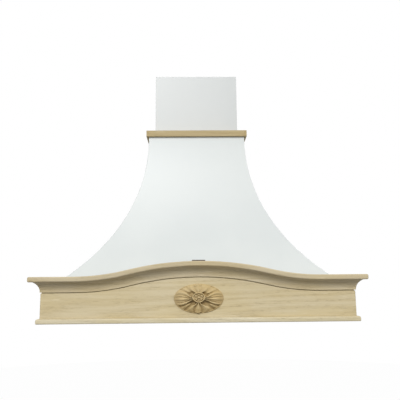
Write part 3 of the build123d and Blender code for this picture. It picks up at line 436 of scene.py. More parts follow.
def build_brushed_metal():
    """Fine lines of brushed or rolled sheet along the X of the coordinates, with handling marks."""
    tree, given, result = new_group(
        "Brushed Metal",
        [
            ("Coordinates", VECTOR),
            ("Color", COLOUR, (0.6, 0.6, 0.6, 1)),
            ("Lines", VALUE, 900.0),
            ("Roughness", VALUE, 0.3),
        ],
    )
    drawn_out = {0: given["Coordinates"], 1: (0.02, 1, 1)}
    spread = output(tree, "ShaderNodeVectorMath", drawn_out, operation="MULTIPLY")
    lines = noise(tree, spread, given["Lines"], 2.0)
    marks = ramp(tree, noise(tree, given["Coordinates"], 26.0, 4.0, 0.65), 0.4, 0.8)
    darker = multiplied(tree, given["Color"], (0.86, 0.86, 0.87, 1))
    colour = blended(tree, ramp(tree, lines, 0.25, 0.75), darker, given["Color"])
    rough = math(tree, "MULTIPLY_ADD", marks, 0.16, given["Roughness"])
    close_group(tree, result, colour, lines, rough)


# ---------------------------------------------------------------- finishes
ALONG_X = (0.0, 0.0, 0.0)
ALONG_Y = (0.0, 0.0, pi / 2)
ALONG_Z = (0.0, pi / 2, 0.0)

# brown of the painted shade in wood crevices and carved recesses
SHADE_BROWN = (0.19, 0.115, 0.033, 1)
GLUED_PLY = (0.24, 0.15, 0.08, 1)
RUBBED_METAL = (0.85, 0.85, 0.85, 1)
# near black of the painted shade in metal crevices
METAL_CREVICE_SHADE = (0.05, 0.05, 0.05, 1)
TWO_PLIES = 2.6 * MM


def new_finish(name, turn=ALONG_X):
    """New material; returns it with its node tree, shader and turned object coordinates."""
    material = bpy.data.materials.new(name)
    tree = emptied_tree(material)
    shader = put(tree, "ShaderNodeBsdfPrincipled")
    put(tree, "ShaderNodeOutputMaterial", {"Surface": shader.outputs[0]})
    place = output(tree, "ShaderNodeTexCoord", socket="Object")
    if turn != ALONG_X:
        inputs = {"Vector": place, "Rotation": turn}
        place = output(tree, "ShaderNodeMapping", inputs, vector_type="TEXTURE")
    return material, tree, shader, place


def dress(tree, shader, colour, surface, edge, bump):
    """Feed the shader a colour, a surface group's roughness and relief, and rounded edges."""
    relief = {"Height": surface["Height"], "Normal": edge["Normal"], "Distance": bump}
    feed(tree, shader.inputs["Base Color"], colour)
    feed(tree, shader.inputs["Roughness"], surface["Roughness"])
    feed(tree, shader.inputs["Normal"], output(tree, "ShaderNodeBump", relief))


def wood_finish(name, light, dark, turn, rings=1.0, pores=0.3, edge_radius=0.8 * MM, hollows=0.0):
    """Raw wood with its grain along one axis, edges rubbed by sanding, painted shade in its crevices,
    and painted shade from a hollow attribute where one is given.
    """
    material, tree, shader, place = new_finish(name, turn)
    inputs = {"Coordinates": place, "Light": light, "Dark": dark, "Rings": rings, "Pores": pores}
    grain = place_group(tree, "Wood Grain", inputs)
    edge = place_group(tree, "Worn Edge", {"Coordinates": place, "Radius": edge_radius})
    colour = tinted(tree, edge["Wear"], 0.35, grain["Color"], light)
    # painted shade: crevices darkened brown by ambient occlusion
    colour = tinted(tree, edge["Crevice"], 0.6, colour, SHADE_BROWN)
    if hollows:
        # painted shade in the recesses, read from the piece's hollow attribute
        deep = output(tree, "ShaderNodeAttribute", socket="Fac", attribute_name="hollow")
        colour = tinted(tree, deep, hollows, colour, SHADE_BROWN)
    dress(tree, shader, colour, grain, edge, 0.12 * MM)
    shader.inputs["Specular IOR Level"].default_value = 0.3
    return material


def plywood_finish(name, light, dark):
    """Plywood: face veneer with grain along X, and glued plies on the edges that stand up."""
    material, tree, shader, place = new_finish(name)
    inputs = {"Coordinates": place, "Light": light, "Dark": dark, "Rings": 0.7, "Pores": 0.1}
    grain = place_group(tree, "Wood Grain", inputs)
    edge = place_group(tree, "Worn Edge", {"Coordinates": place, "Radius": 0.5 * MM})
    flat = output(tree, "ShaderNodeNewGeometry", socket="True Normal")
    up = output(tree, "ShaderNodeSeparateXYZ", {0: flat}, "Z")
    upright = ramp(tree, math(tree, "ABSOLUTE", up), 0.6, 0.4)
    height = output(tree, "ShaderNodeSeparateXYZ", {0: place}, "Z")
    plies = math(tree, "SINE", math(tree, "MULTIPLY", height, 2 * pi / TWO_PLIES))
    plies = ramp(tree, plies, -0.25, 0.25)
    mask = math(tree, "MULTIPLY", upright, 0.55)
    colour = tinted(tree, plies, mask, grain["Color"], GLUED_PLY)
    dress(tree, shader, colour, grain, edge, 0.1 * MM)
    return material


def paint_finish(name, colour, roughness, bump=0.03 * MM, edge_radius=0.9 * MM):
    """Satin coat: rounded edges, a fine film texture, edges rubbed a little darker."""
    material, tree, shader, place = new_finish(name)
    inputs = {"Coordinates": place, "Color": colour, "Roughness": roughness}
    film = place_group(tree, "Paint Film", inputs)
    edge = place_group(tree, "Worn Edge", {"Coordinates": place, "Radius": edge_radius})
    rubbed = multiplied(tree, film["Color"], (0.93, 0.93, 0.92, 1))
    worn = tinted(tree, edge["Wear"], 0.6, film["Color"], rubbed)
    dress(tree, shader, worn, film, edge, bump)
    return material


def metal_finish(name, colour, roughness, turn=ALONG_X, lines=900.0, crevice=6.0 * MM):
    """Bare sheet or turned metal with fine lines, brighter rubbed edges and painted shade in its
    crevices.
    """
    material, tree, shader, place = new_finish(name, turn)
    inputs = {"Coordinates": place, "Color": colour, "Roughness": roughness, "Lines": lines}
    sheet = place_group(tree, "Brushed Metal", inputs)
    inputs = {"Coordinates": place, "Radius": 0.4 * MM, "Crevice Reach": crevice}
    edge = place_group(tree, "Worn Edge", inputs)
    worn = tinted(tree, edge["Wear"], 0.6, sheet["Color"], RUBBED_METAL)
    # painted shade: crevices darkened by ambient occlusion
    worn = tinted(tree, edge["Crevice"], 0.75, worn, METAL_CREVICE_SHADE)
    dress(tree, shader, worn, sheet, edge, 0.02 * MM)
    shader.inputs["Metallic"].default_value = 1.0
    return material


def lens_finish(name):
    """Frosted glass of the lamps."""
    material, tree, shader, place = new_finish(name)
    frost = noise(tree, place, 700.0, 2.0)
    relief = output(tree, "ShaderNodeBump", {"Height": frost, "Distance": 0.05 * MM})
    feed(tree, shader.inputs["Normal"], relief)
    feed(tree, shader.inputs["Roughness"], math(tree, "MULTIPLY_ADD", frost, 0.2, 0.25))
    shader.inputs["Base Color"].default_value = (0.93, 0.94, 0.93, 1)
    shader.inputs["Transmission Weight"].default_value = 0.55
    shader.inputs["IOR"].default_value = 1.49
    return material


def oak_finishes(oak):
    """Oak finishes of every board, along X and along Y, and that of the carving."""

    def shades(tone):
        """Light and dark oak of a board, each multiplied by the board's tone."""
        return [tuple(c * t for c, t in zip(colour, tone)) for colour in (oak.light, oak.dark)]

    finishes = {}
    for board, tone in (
        ("fascia", (1, 1, 1, 1)),
        ("moulding", oak.moulding),
        ("collar", oak.collar),
        ("trim", oak.trim),
    ):
        for axis, turn in (("x", ALONG_X), ("y", ALONG_Y)):
            name = f"{board.capitalize()} Oak Along {axis.upper()}"
            finish = wood_finish(name, *shades(tone), turn, pores=oak.pores)
            finishes[f"{board}_oak_{axis}"] = finish
    # the carving's finish also mixes in the painted shade of its hollow attribute
    finishes["carved_oak"] = wood_finish(
        "Carved Oak",
        *shades(oak.carved),
        ALONG_X,
        rings=0.6,
        pores=0.7 * oak.pores,
        edge_radius=0.4 * MM,
        hollows=0.75,
    )
    return finishes


def make_finishes(settings):
    """Every material of the hood, by name."""
    paint = settings.paint
    pine = (0.62, 0.47, 0.28, 1), (0.5, 0.34, 0.17, 1)
    birch = (0.60, 0.47, 0.30, 1), (0.50, 0.37, 0.22, 1)
    aluminium = (0.60, 0.60, 0.61, 1)
    black = (0.035, 0.035, 0.037, 1)
    moulded = 0.04 * MM, 0.5 * MM  # bump and edge radius of moulded plastic
    return {
        **oak_finishes(settings.oak),
        "white_paint": paint_finish("White Paint", tuple(paint.colour), paint.roughness),
        # the chimney takes a darker copy of the white paint, as painted shade
        "shaded_chimney_paint": paint_finish("Chimney Paint", tuple(paint.chimney), paint.roughness),
        "plywood": plywood_finish("Birch Plywood", *birch),
        "pine": wood_finish("Planed Pine", *pine, ALONG_X, pores=0.05),
        "pine_along_z": wood_finish("Planed Pine Upright", *pine, ALONG_Z, pores=0.05),
        "satin_steel": metal_finish("Brushed Steel", (0.50, 0.50, 0.49, 1), 0.3),
        "dark_steel": paint_finish("Dark Bronze Coat", (0.075, 0.06, 0.05, 1), 0.5, 0.06 * MM),
        "zinc_screws": metal_finish("Zinc Plate", (0.66, 0.67, 0.69, 1), 0.25, lines=300.0),
        "aluminium": metal_finish("Satin Aluminium", aluminium, 0.34, ALONG_Y, crevice=14.0 * MM),
        "grey_plastic": paint_finish("Grey Plastic", (0.33, 0.34, 0.35, 1), 0.5, *moulded),
        "black_plastic": paint_finish("Black Plastic", black, 0.42, *moulded),
        "zinc_sheet": metal_finish("Galvanised Sheet", (0.58, 0.60, 0.62, 1), 0.42, lines=60.0),
        "motor_grey": paint_finish("Motor Enamel", (0.2, 0.21, 0.22, 1), 0.4, 0.05 * MM, 0.5 * MM),
        "bright_steel": metal_finish("Turned Steel", (0.7, 0.7, 0.69, 1), 0.2, lines=1400.0),
        "lamp_glass": lens_finish("Frosted Glass"),
    }


OAK_BOARDS = {"crown": "moulding", "collar": "collar", "trim": "trim"}
GRAIN_UPRIGHT = ("uprights", "chimney_battens", "corner_blocks")


def finish_for(node):
    """Name of the material that a CAD node takes."""
    slot = SLOT_OF[node]
    if slot == "raw_oak":
        board = next((board for part, board in OAK_BOARDS.items() if part in node), "fascia")
        return f"{board}_oak_{'y' if node.startswith(('left_', 'right_')) else 'x'}"
    # the chimney takes the darker copy of the white paint, which paints its shade
    if slot == "white_paint" and "chimney" in node:
        return "shaded_chimney_paint"
    if slot == "pine" and node in GRAIN_UPRIGHT:
        return "pine_along_z"
    return slot


class HOOD_OT_finishes(Operator):
    """Build every material and give each CAD node its own"""

    bl_idname = "hood.finishes"
    bl_label = "Finishes"

    def execute(self, context):
        build_wood_grain()
        build_worn_edge_and_crevice_shade()
        build_paint_film()
        build_brushed_metal()
        finishes = make_finishes(context.scene.hood)
        for node, shape in NODES.items():
            shape.data.materials.clear()
            shape.data.materials.append(finishes[finish_for(node)])
        return {"FINISHED"}


# ---------------------------------------------------------------- mesh helpers
def arc_points(centre, radius, start, end, count):
    """Points on a flat arc, ends included."""
    angles = [start + (end - start) * i / count for i in range(count + 1)]
    return [(centre[0] + radius * cos(a), centre[1] + radius * sin(a)) for a in angles]


def ring_points(radius, count, height, offset=0.0):
    """Points of a level ring round the Z axis, turned on by `offset` of a step."""
    angles = [2 * pi * (i + offset) / count for i in range(count)]
    return [(radius * cos(a), radius * sin(a), height) for a in angles]


def band_faces(low, high, count, turned=False):
    """Faces of a closed band between two rings, which start at points `low` and `high`."""
    faces = []
    for i in range(count):
        j = (i + 1) % count
        if turned:
            faces.append((low + i, high + i, high + j, low + j))
        else:
            faces.append((low + i, low + j, high + j, high + i))
    return faces


def new_mesh(name, points, edges=(), faces=()):
    """Mesh of points and the edges or faces between them."""
    mesh = bpy.data.meshes.new(name)
    mesh.from_pydata(points, edges, faces)
    return mesh


def linked_object(name, data):
    """Object for a mesh, curve, lamp or camera, linked to the scene."""
    made = bpy.data.objects.new(name, data)
    bpy.context.scene.collection.objects.link(made)
    return made


def mesh_piece(name, points, faces):
    """Object with its own mesh, at the origin."""
    mesh = new_mesh(name, points, faces=faces)
    mesh.validate()
    return linked_object(name, mesh)


def smooth_with_creases(piece, angle=radians(30)):
    """Shade smooth, except across edges that turn more than the angle."""
    piece.data.shade_smooth()
    piece.data.set_sharp_from_angle(angle=angle)
    return piece


def grow(tree, name, base, inputs, crease=radians(30)):
    """Piece with the plain mesh that a Geometry Nodes tree makes from a base mesh."""
    piece = linked_object(name, base)
    modifier = piece.modifiers.new(tree.name, "NODES")
    modifier.node_group = tree
    for item in tree.interface.items_tree:
        if item.in_out == "INPUT" and item.name in inputs:
            modifier[item.identifier] = inputs[item.name]
    graph = bpy.context.evaluated_depsgraph_get()
    grown = bpy.data.meshes.new_from_object(
        piece.evaluated_get(graph), preserve_all_data_layers=True, depsgraph=graph
    )
    piece.modifiers.clear()
    piece.data = grown
    grown.name = name
    if not grown.polygons:
        raise RuntimeError(f"{name} came out empty")
    return smooth_with_creases(piece, crease)


def publish(piece, body, slot, material, *replaced):
    """Give the finished piece its material and body, and hide the nodes it stands for. The slot is not
    used.
    """
    if not piece.data.materials:
        piece.data.materials.append(material)
    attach(piece, body)
    if replaced:
        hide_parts(*replaced)
    return piece


# ---------------------------------------------------------------- Geometry Nodes trees
def new_shape_tree(name, *inputs):
    """Geometry Nodes tree that takes a base geometry, its own inputs and a finish."""
    inputs = [("Geometry", GEOMETRY), *inputs, ("Finish", MATERIAL)]
    return new_group(name, inputs, [("Geometry", GEOMETRY)], "GeometryNodeTree")


def close_shape_tree(tree, given, result, shape):
    """Make every copy a real mesh, give it the finish and hand it out; returns the tree."""
    whole = output(tree, "GeometryNodeRealizeInstances", {0: shape})
    inputs = {"Geometry": whole, "Material": given["Finish"]}
    close_group(tree, result, output(tree, "GeometryNodeSetMaterial", inputs))
    return tree


def moulding_tree():
    """Sweep a section along a path and cut its ends on the 45 degree corner mitres."""
    tree, given, result = new_shape_tree(
        "Mitred Moulding",
        ("Section", OBJECT),
        ("Corner Sum", VALUE, 0.2),
        ("Side Return", VALUE, 0.0),
    )
    line = output(tree, "GeometryNodeMeshToCurve", {0: given["Geometry"]})
    line = output(tree, "GeometryNodeSetCurveNormal", {0: line}, mode="Z_UP")
    section = output(tree, "GeometryNodeObjectInfo", {"Object": given["Section"]}, "Geometry")
    inputs = {0: line, 1: section, "Fill Caps": True}
    swept = output(tree, "GeometryNodeCurveToMesh", inputs)
    position = output(tree, "GeometryNodeInputPosition")
    at = put(tree, "ShaderNodeSeparateXYZ", {0: position}).outputs
    # past: how far a point lies outside the vertical plane of the corner mitre
    past = math(tree, "ADD", math(tree, "ABSOLUTE", at["X"]), at["Y"])
    past = math(tree, "SUBTRACT", past, given["Corner Sum"])
    front = math(tree, "SUBTRACT", 1.0, given["Side Return"])
    pull_x = math(tree, "MULTIPLY", math(tree, "MAXIMUM", past, 0.0), front)
    pull_x = math(tree, "MULTIPLY", pull_x, math(tree, "SIGN", at["X"]))
    pull_x = math(tree, "MULTIPLY", pull_x, -1.0)
    push_y = math(tree, "MAXIMUM", math(tree, "MULTIPLY", past, -1.0), 0.0)
    push_y = math(tree, "MULTIPLY", push_y, given["Side Return"])
    shift = output(tree, "ShaderNodeCombineXYZ", {"X": pull_x, "Y": push_y})
    cut = output(tree, "GeometryNodeSetPosition", {"Geometry": swept, "Offset": shift})
    return close_shape_tree(tree, given, result, cut)


def fixing_tree():
    """Set a screw head on every point, turned towards one side, each driven to its own angle."""
    tree, given, result = new_shape_tree(
        "Screw Heads",
        ("Head", OBJECT),
        ("Facing", VECTOR, (0, 0, 0)),
        ("Seed", WHOLE_NUMBER, 4),
    )
    head = output(tree, "GeometryNodeObjectInfo", {"Object": given["Head"]}, "Geometry")
    # sockets 3 and 1 are the highest and the drawn value of a plain number
    draw = {"Seed": given["Seed"], 3: 2 * pi}
    spin = output(tree, "FunctionNodeRandomValue", draw, 1, data_type="FLOAT")
    angle = output(tree, "ShaderNodeCombineXYZ", {"Z": spin})
    inputs = {"Points": given["Geometry"], "Instance": head, "Rotation": given["Facing"]}
    driven = output(tree, "GeometryNodeInstanceOnPoints", inputs)
    inputs = {"Instances": driven, "Rotation": angle}
    turned = output(tree, "GeometryNodeRotateInstances", inputs)
    return close_shape_tree(tree, given, result, turned)


def blade_tree():
    """Repeat one pressed blade across the opening of a grease filter."""
    tree, given, result = new_shape_tree(
        "Baffle Blades",
        ("Count", WHOLE_NUMBER, 10),
        ("First", VECTOR, (0, 0, 0)),
        ("Pitch", VALUE, 0.02),
    )
    step = output(tree, "ShaderNodeCombineXYZ", {"X": given["Pitch"]})
    inputs = {"Count": given["Count"], "Start Location": given["First"], "Offset": step}
    row = output(tree, "GeometryNodeMeshLine", inputs)
    inputs = {"Points": row, "Instance": given["Geometry"]}
    blades = output(tree, "GeometryNodeInstanceOnPoints", inputs)
    return close_shape_tree(tree, given, result, blades)


# ---------------------------------------------------------------- crown moulding
ROUND_STEPS = 10
ROLL_STEPS = 14
COVE_STEPS = 28
HOLLOW_STEPS = 36
HUMP_STEPS = 48


def crown_section(size):
    """Section of the crown as (outwards, downwards) from the fascia at the top of the band."""
    high = (CROWN_REACH - size.band_round, size.band_round)
    low = (CROWN_REACH - size.band_roll, size.band - size.band_roll)
    start = (CROWN_REACH - size.undercut, size.band - size.quirk)
    end = (size.lip, size.height)
    # the cove's centre lies off the middle of the chord from its start to its end
    chord = hypot(end[0] - start[0], end[1] - start[1])
    middle = ((start[0] + end[0]) / 2, (start[1] + end[1]) / 2)
    rise = sqrt(size.cove**2 - chord**2 / 4)
    across = ((end[1] - start[1]) / chord, (start[0] - end[0]) / chord)
    centre = (middle[0] + across[0] * rise, middle[1] + across[1] * rise)
    first = atan2(start[1] - centre[1], start[0] - centre[0])
    last = atan2(end[1] - centre[1], end[0] - centre[0])
    turn = (last - first + pi) % (2 * pi) - pi
    return [
        (0.0, 0.0),
        *arc_points(high, size.band_round, -pi / 2, 0, ROUND_STEPS),
        *arc_points(low, size.band_roll, 0, pi / 2, ROLL_STEPS),
        *arc_points(centre, size.cove, first, first + turn, COVE_STEPS),
        (0.0, size.height),
    ]


def section_curve(outline):
    """Closed curve through the points of a section."""
    curve = bpy.data.curves.new("Moulding Section", "CURVE")
    curve.dimensions = "3D"
    spline = curve.splines.new("POLY")
    spline.points.add(len(outline) - 1)
    for point, (out, down) in zip(spline.points, outline):
        point.co = (out, down, 0.0, 1.0)
    spline.use_cyclic_u = True
    return curve


def arch_points(size):
    """Top line of the mantle: flat end, hollow, hump, hollow, flat end."""
    rise = ARCH_TOP_Z - CROWN_TOP_Z
    # the hollow and the hump meet smoothly, so their radii add up to this
    both = (size.half_span**2 + rise**2) / (2 * rise)
    hollow = both - size.hump
    spread = atan2(size.half_span, both - rise)
    half = [(FASCIA_HALF + CROWN_REACH, CROWN_TOP_Z)]
    for i in range(HOLLOW_STEPS + 1):
        a = spread * i / HOLLOW_STEPS
        half.append((size.half_span - hollow * sin(a), CROWN_TOP_Z + hollow - hollow * cos(a)))
    for i in range(1, HUMP_STEPS + 1):
        a = spread * (1 - i / HUMP_STEPS)
        half.append((size.hump * sin(a), ARCH_TOP_Z - size.hump + size.hump * cos(a)))
    left = [(-x, FASCIA_Y, z) for x, z in half[:-1]]
    return left + [(x, FASCIA_Y, z) for x, z in reversed(half)]


class HOOD_OT_crown(Operator):
    """Sweep the crown moulding over the arch and mitre it with its side returns"""

    bl_idname = "hood.crown"
    bl_label = "Crown Moulding"

    def execute(self, context):
        size = context.scene.hood.moulding
        section = linked_object("Moulding Section", section_curve(crown_section(size)))
        tree = moulding_tree()
        left = [(-FASCIA_HALF, WALL_Y, CROWN_TOP_Z), (-FASCIA_HALF, CROWN_TIP_Y, CROWN_TOP_Z)]
        right = [(FASCIA_HALF, CROWN_TIP_Y, CROWN_TOP_Z), (FASCIA_HALF, WALL_Y, CROWN_TOP_Z)]
        for node, points, side, finish in (
            ("front_crown", arch_points(size), 0.0, "Moulding Oak Along X"),
            ("left_crown", left, 1.0, "Moulding Oak Along Y"),
            ("right_crown", right, 1.0, "Moulding Oak Along Y"),
        ):
            path = new_mesh("Moulding Path", points, [(i, i + 1) for i in range(len(points) - 1)])
            inputs = {
                "Section": section,
                "Corner Sum": FASCIA_HALF + FASCIA_Y,
                "Side Return": side,
                "Finish": bpy.data.materials[finish],
            }
            piece = grow(tree, f"{node}_moulding", path, inputs)
            publish(piece, COVER, "raw_oak", bpy.data.materials[finish], node)
        bpy.data.objects.remove(section)
        return {"FINISHED"}


# ---------------------------------------------------------------- canopy
BOARD_STEPS = 12  # faces from one corner of a board to the other
BOARD_EDGE = 0.8 * MM  # how far the bevel takes off an edge


def flare_reach(size, neck, foot, z):
    """How far the outer and the inner face of a canopy board reach out at height z."""
    drop = size.flare_top - CANOPY_FOOT_Z
    spread = foot - neck
    radius = (spread**2 + drop**2) / (2 * spread)
    below = max(size.flare_top - z, 0.0)
    return [neck + radius - sqrt((radius + inset) ** 2 - below**2) for inset in (0.0, size.skin)]


def canopy_heights(size):
    """Heights of the rows, with one at the top of the flare."""
    drop = size.flare_top - CANOPY_FOOT_Z
    rows = [CANOPY_FOOT_Z + drop * i / size.rows for i in range(size.rows + 1)]
    return rows + [(size.flare_top + CANOPY_TOP_Z) / 2, CANOPY_TOP_Z]


def closed_shell(name, rows):
    """Shell from rows of (outer start, outer end, inner end, inner start) corners."""
    points, faces = [], []
    for row in rows:
        corners = [Vector(corner) for corner in row]
        ends = corners[1:] + corners[:1]
        for first, last, steps in zip(corners, ends, (BOARD_STEPS, 1, BOARD_STEPS, 1)):
            points += [first.lerp(last, i / steps).to_tuple() for i in range(steps)]
    ring = len(points) // len(rows)
    for base in range(0, len(points) - ring, ring):
        faces += band_faces(base, base + ring, ring)
    # the two rims are strips between the outer and inner edge
    for base, turned in ((0, True), (len(points) - ring, False)):
        end = base + 2 * BOARD_STEPS + 1
        for i in range(BOARD_STEPS):
            strip = (base + i, base + i + 1, end - i - 1, end - i)
            faces.append(strip[::-1] if turned else strip)
    return mesh_piece(name, points, faces)


def soften(board):
    """Round a board's edges with a live bevel and shade the rest smooth."""
    bevel = board.modifiers.new("Softened Edges", "BEVEL")
    bevel.width = BOARD_EDGE
    bevel.segments = 2
    bevel.limit_method = "ANGLE"
    bevel.angle_limit = radians(35)
    bevel.harden_normals = True
    board.data.shade_smooth()
    return board


class HOOD_OT_canopy(Operator):
    """Bend the white canopy's front and two sides, with crisp corners between them"""

    bl_idname = "hood.canopy"
    bl_label = "White Canopy"

    def execute(self, context):
        size = context.scene.hood.canopy
        boards = {"canopy_front": [], "left_canopy": [], "right_canopy": []}
        for z in canopy_heights(size):
            half, inner_half = flare_reach(size, size.neck_half, size.foot_half, z)
            depth, inner_depth = flare_reach(size, size.neck_depth, size.foot_depth, z)
            front, near = WALL_Y - depth, WALL_Y - inner_depth
            boards["canopy_front"].append(
                [(-half, front, z), (half, front, z), (half, near, z), (-half, near, z)]
            )
            # the left side starts at the wall and the right one at the front, to wind alike
            boards["left_canopy"].append(
                [(-half, WALL_Y, z), (-half, near, z), (-inner_half, near, z), (-inner_half, WALL_Y, z)]
            )
            boards["right_canopy"].append(
                [(half, near, z), (half, WALL_Y, z), (inner_half, WALL_Y, z), (inner_half, near, z)]
            )
        for node, rows in boards.items():
            board = soften(closed_shell(f"{node}_board", rows))
            publish(board, COVER, "white_paint", bpy.data.materials["White Paint"], node)
        return {"FINISHED"}


# ---------------------------------------------------------------- rosette
# heights and widths of the carving are in millimetres, and rho runs from 0 to 1 at the oval rim
CREST = 10.3  # height of the petals beside the cup
CREST_DROP = 8.4  # what it loses on the way to the rim
LOW_PETAL_DROP = 1.6  # how far the petals behind lie below the wide ones
GROUND = 0.8  # height of what lies between the petals
CUP_RISE = 3.0  # the cup's middle above that of the oval
CUP_HALF_WIDTH = 16.5
CUP_HALF_HEIGHT = 13.5
CUP_WIDENING = 1.5  # of its half width, towards the top
CUP_FLOOR = 5.6
LEAF_HEIGHT = 5.6
BEAD_RADIUS = 3.6
BEAD_FOOT = 6.8
BEAD_HEIGHT = 4.3
CUP_LIP = 9.8
LIP_ROUND = 1.3
TALLEST = CUP_LIP + LIP_ROUND
ROSETTE_RINGS = 110
ROSETTE_SPOKES = 384


def eased(value, low, high):
    """0 below low, 1 above high, smooth between."""
    t = min(max((value - low) / (high - low), 0.0), 1.0)
    return t * t * (3 - 2 * t)


def ridge(value, centre, width):
    """Bell of height 1 round a centre."""
    return exp(-(((value - centre) / width) ** 2))


def crest_height(rho):
    """Height of the petals' crests, from the middle of the oval to its rim."""
    return CREST - CREST_DROP * rho**2.7


def petal_form(turn, half, crest, relief, ribs=0.0):
    """Height of a petal with rolled edges, a rib, scoops and side ribs, and 1 inside its outline."""
    across = abs(turn) / half
    form = 1.2 * ridge(across, 0.84, 0.13) + 1.0 * ridge(across, 0.0, 0.13)
    form -= 4.4 * ridge(across, 0.43, 0.2) - 4.6 * ribs * ridge(across, 0.43, 0.085)
    return crest + relief * form, 1 - eased(across, 0.96, 1.12)


def cup_form(x, y):
    """Height of the cup with its raised lip, six small leaves and a bead, and 1 outside it."""
    half_width = CUP_HALF_WIDTH + CUP_WIDENING * eased(y, -8.0, 6.0)
    out = hypot(x / half_width, y / CUP_HALF_HEIGHT)
    turn = abs((atan2(y, x) - pi / 2) % (pi / 3) - pi / 6) / (pi / 6)
    leaf = CUP_FLOOR + LEAF_HEIGHT * eased(turn, 0.2, 0.6) * ridge(out, 0.55, 0.2)
    bead = hypot(x, y) / BEAD_RADIUS
    middle = max(leaf, BEAD_FOOT + BEAD_HEIGHT * sqrt(max(1 - bead**2, 0.0)))
    lip = CUP_LIP + LIP_ROUND * ridge(out, 0.92, 0.08)
    return middle + (lip - middle) * eased(out, 0.76, 0.88), eased(out, 0.98, 1.1)


def carving(rho, angle, x, y, petals):
    """Height of the rosette's carving, and from 0 to 1 how much painted shade the point takes."""
    uneven = angle + 0.05 * sin(3 * angle + 0.8) + 0.03 * sin(5 * angle + 2.1)
    step = 4 * pi / petals
    wide_turn = (uneven + step / 2) % step - step / 2
    low_turn = uneven % step - step / 2
    height = GROUND + 1.6 * eased(rho, 0.45, 0.95)
    end = 1 - eased(rho, 0.93, 0.985)
    relief = (1 - 0.4 * eased(rho, 0.6, 0.95)) * (1 - 0.5 * eased(sin(angle), 0.4, 0.9))
    sideways = eased(abs(cos(angle)), 0.6, 0.95)
    # the low petals start behind deep hollows beside the cup
    crest = crest_height(rho) - LOW_PETAL_DROP
    form, inside = petal_form(low_turn, radians(21), crest, 0.8 * relief)
    start = 0.36 + 0.1 * cos(angle + radians(50)) ** 2
    inside *= end * eased(rho, start, start + 0.2)
    height += (form - height) * inside
    # the wide petals cover their edges
    half = 14 + 14 * eased(rho, 0.28, 0.62) - 7 * eased(rho, 0.75, 0.97) + 7 * sideways
    form, inside = petal_form(wide_turn, radians(half), crest_height(rho), relief, sideways)
    height += (form - height) * inside * end
    # small leaf tips in front of the upper and lower petal
    aside = abs(wide_turn) * abs(sin(angle)) / 0.2 + abs(rho - 0.88) / 0.16
    tip = (5.6 + 0.8 * ridge(wide_turn, 0.0, 0.05)) * (1 - eased(aside, 0.8, 1.05))
    height = max(height, tip * eased(abs(sin(angle)), 0.8, 0.95))
    bowl, outside = cup_form(x, y - CUP_RISE)
    height = bowl + (height - bowl) * outside
    # painted shade: the further a point lies below the petals' crests, the darker it is, less so at the
    # rim and in the upper half, which faces the light
    depth = eased(crest_height(rho) - height, 0.6, 5.0) * (1 - 0.6 * eased(rho, 0.85, 1.0))
    depth *= 0.8 - 0.4 * eased(sin(angle), 0.0, 0.5)
    # painted shade on the outer ring all round but the top, on the sides and on the lower edge, which
    # faces down, and on a band above the cup
    outer_shade = 0.5 * eased(rho, 0.6, 0.9) * (1 - eased(sin(angle), 0.0, 0.8))
    upper = 0.25 * ridge(rho, 0.5, 0.15) * eased(sin(angle), 0.7, 1.0)
    depth = min(depth + outer_shade + upper, 1.0)
    # the oval edge rolls over to the fascia
    return height * sqrt(max(1 - eased(rho, 0.965, 1.0) ** 2, 0.0)), depth


class HOOD_OT_rosette(Operator):
    """Carve the oval rosette: long petals with ribs round a small cup"""

    bl_idname = "hood.rosette"
    bl_label = "Carved Rosette"

    def execute(self, context):
        size = context.scene.hood.rosette
        low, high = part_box("rosette")
        centre = (low + high) / 2
        half_width, half_height = (high.x - low.x) / 2, (high.z - low.z) / 2
        places = [(0.0, 0.0)]
        for ring in range(1, ROSETTE_RINGS + 1):
            for spoke in range(ROSETTE_SPOKES):
                places.append((ring / ROSETTE_RINGS, 2 * pi * spoke / ROSETTE_SPOKES))
        points, painted_shades = [], []
        for rho, angle in places:
            x, z = half_width * rho * cos(angle), half_height * rho * sin(angle)
            height, depth = carving(rho, angle, x / MM, z / MM, size.petals)
            points.append((centre.x + x, FASCIA_Y - height / TALLEST * size.relief, centre.z + z))
            painted_shades.append(depth)
        faces = [(0, 1 + i, 1 + (i + 1) % ROSETTE_SPOKES) for i in range(ROSETTE_SPOKES)]
        rim = len(points) - ROSETTE_SPOKES
        for base in range(1, rim, ROSETTE_SPOKES):
            faces += band_faces(base, base + ROSETTE_SPOKES, ROSETTE_SPOKES, turned=True)
        faces.append(tuple(reversed(range(rim, len(points)))))
        piece = smooth_with_creases(mesh_piece("rosette_carving", points, faces), radians(70))
        # the hollow attribute holds the painted shade, which the Carved Oak finish mixes in
        piece.data.attributes.new("hollow", "FLOAT", "POINT").data.foreach_set("value", painted_shades)
        publish(piece, COVER, "carved_oak", bpy.data.materials["Carved Oak"], "rosette")
        return {"FINISHED"}


# ---------------------------------------------------------------- screws
HEAD_SIDES = 16
# outline of a screw head as (reach, height), both as shares of its radius
HEAD_PROFILE = ((1.0, 0.0), (1.0, 0.22), (0.86, 0.44), (0.62, 0.55))
RECESS_ARM = (0.34, 0.2)  # the cross recess reaches far and sinks here
RECESS_CORNER = (0.2, 0.55)  # it is narrow and level between its arms

PANEL_SCREW_LINE = 9.5 * MM  # from the edge of the insert's panel
PANEL_SCREW_REACH = 281 * MM  # from the middle to the outer screws of the panel
BASE_SCREW_LINE = 12 * MM  # from the edge of the base panel
BASE_SIDE_SCREWS = (-60 * MM, 80 * MM, 220 * MM)  # places along Y
RAIL_END = 20 * MM  # from the end of a rail to its last screws
RAIL_SCREW_RISE = 18 * MM  # from the middle of a rail
RAIL_SCREW_SINK = 2.0 * MM  # into the rails' back, so that no head stands out to the wall


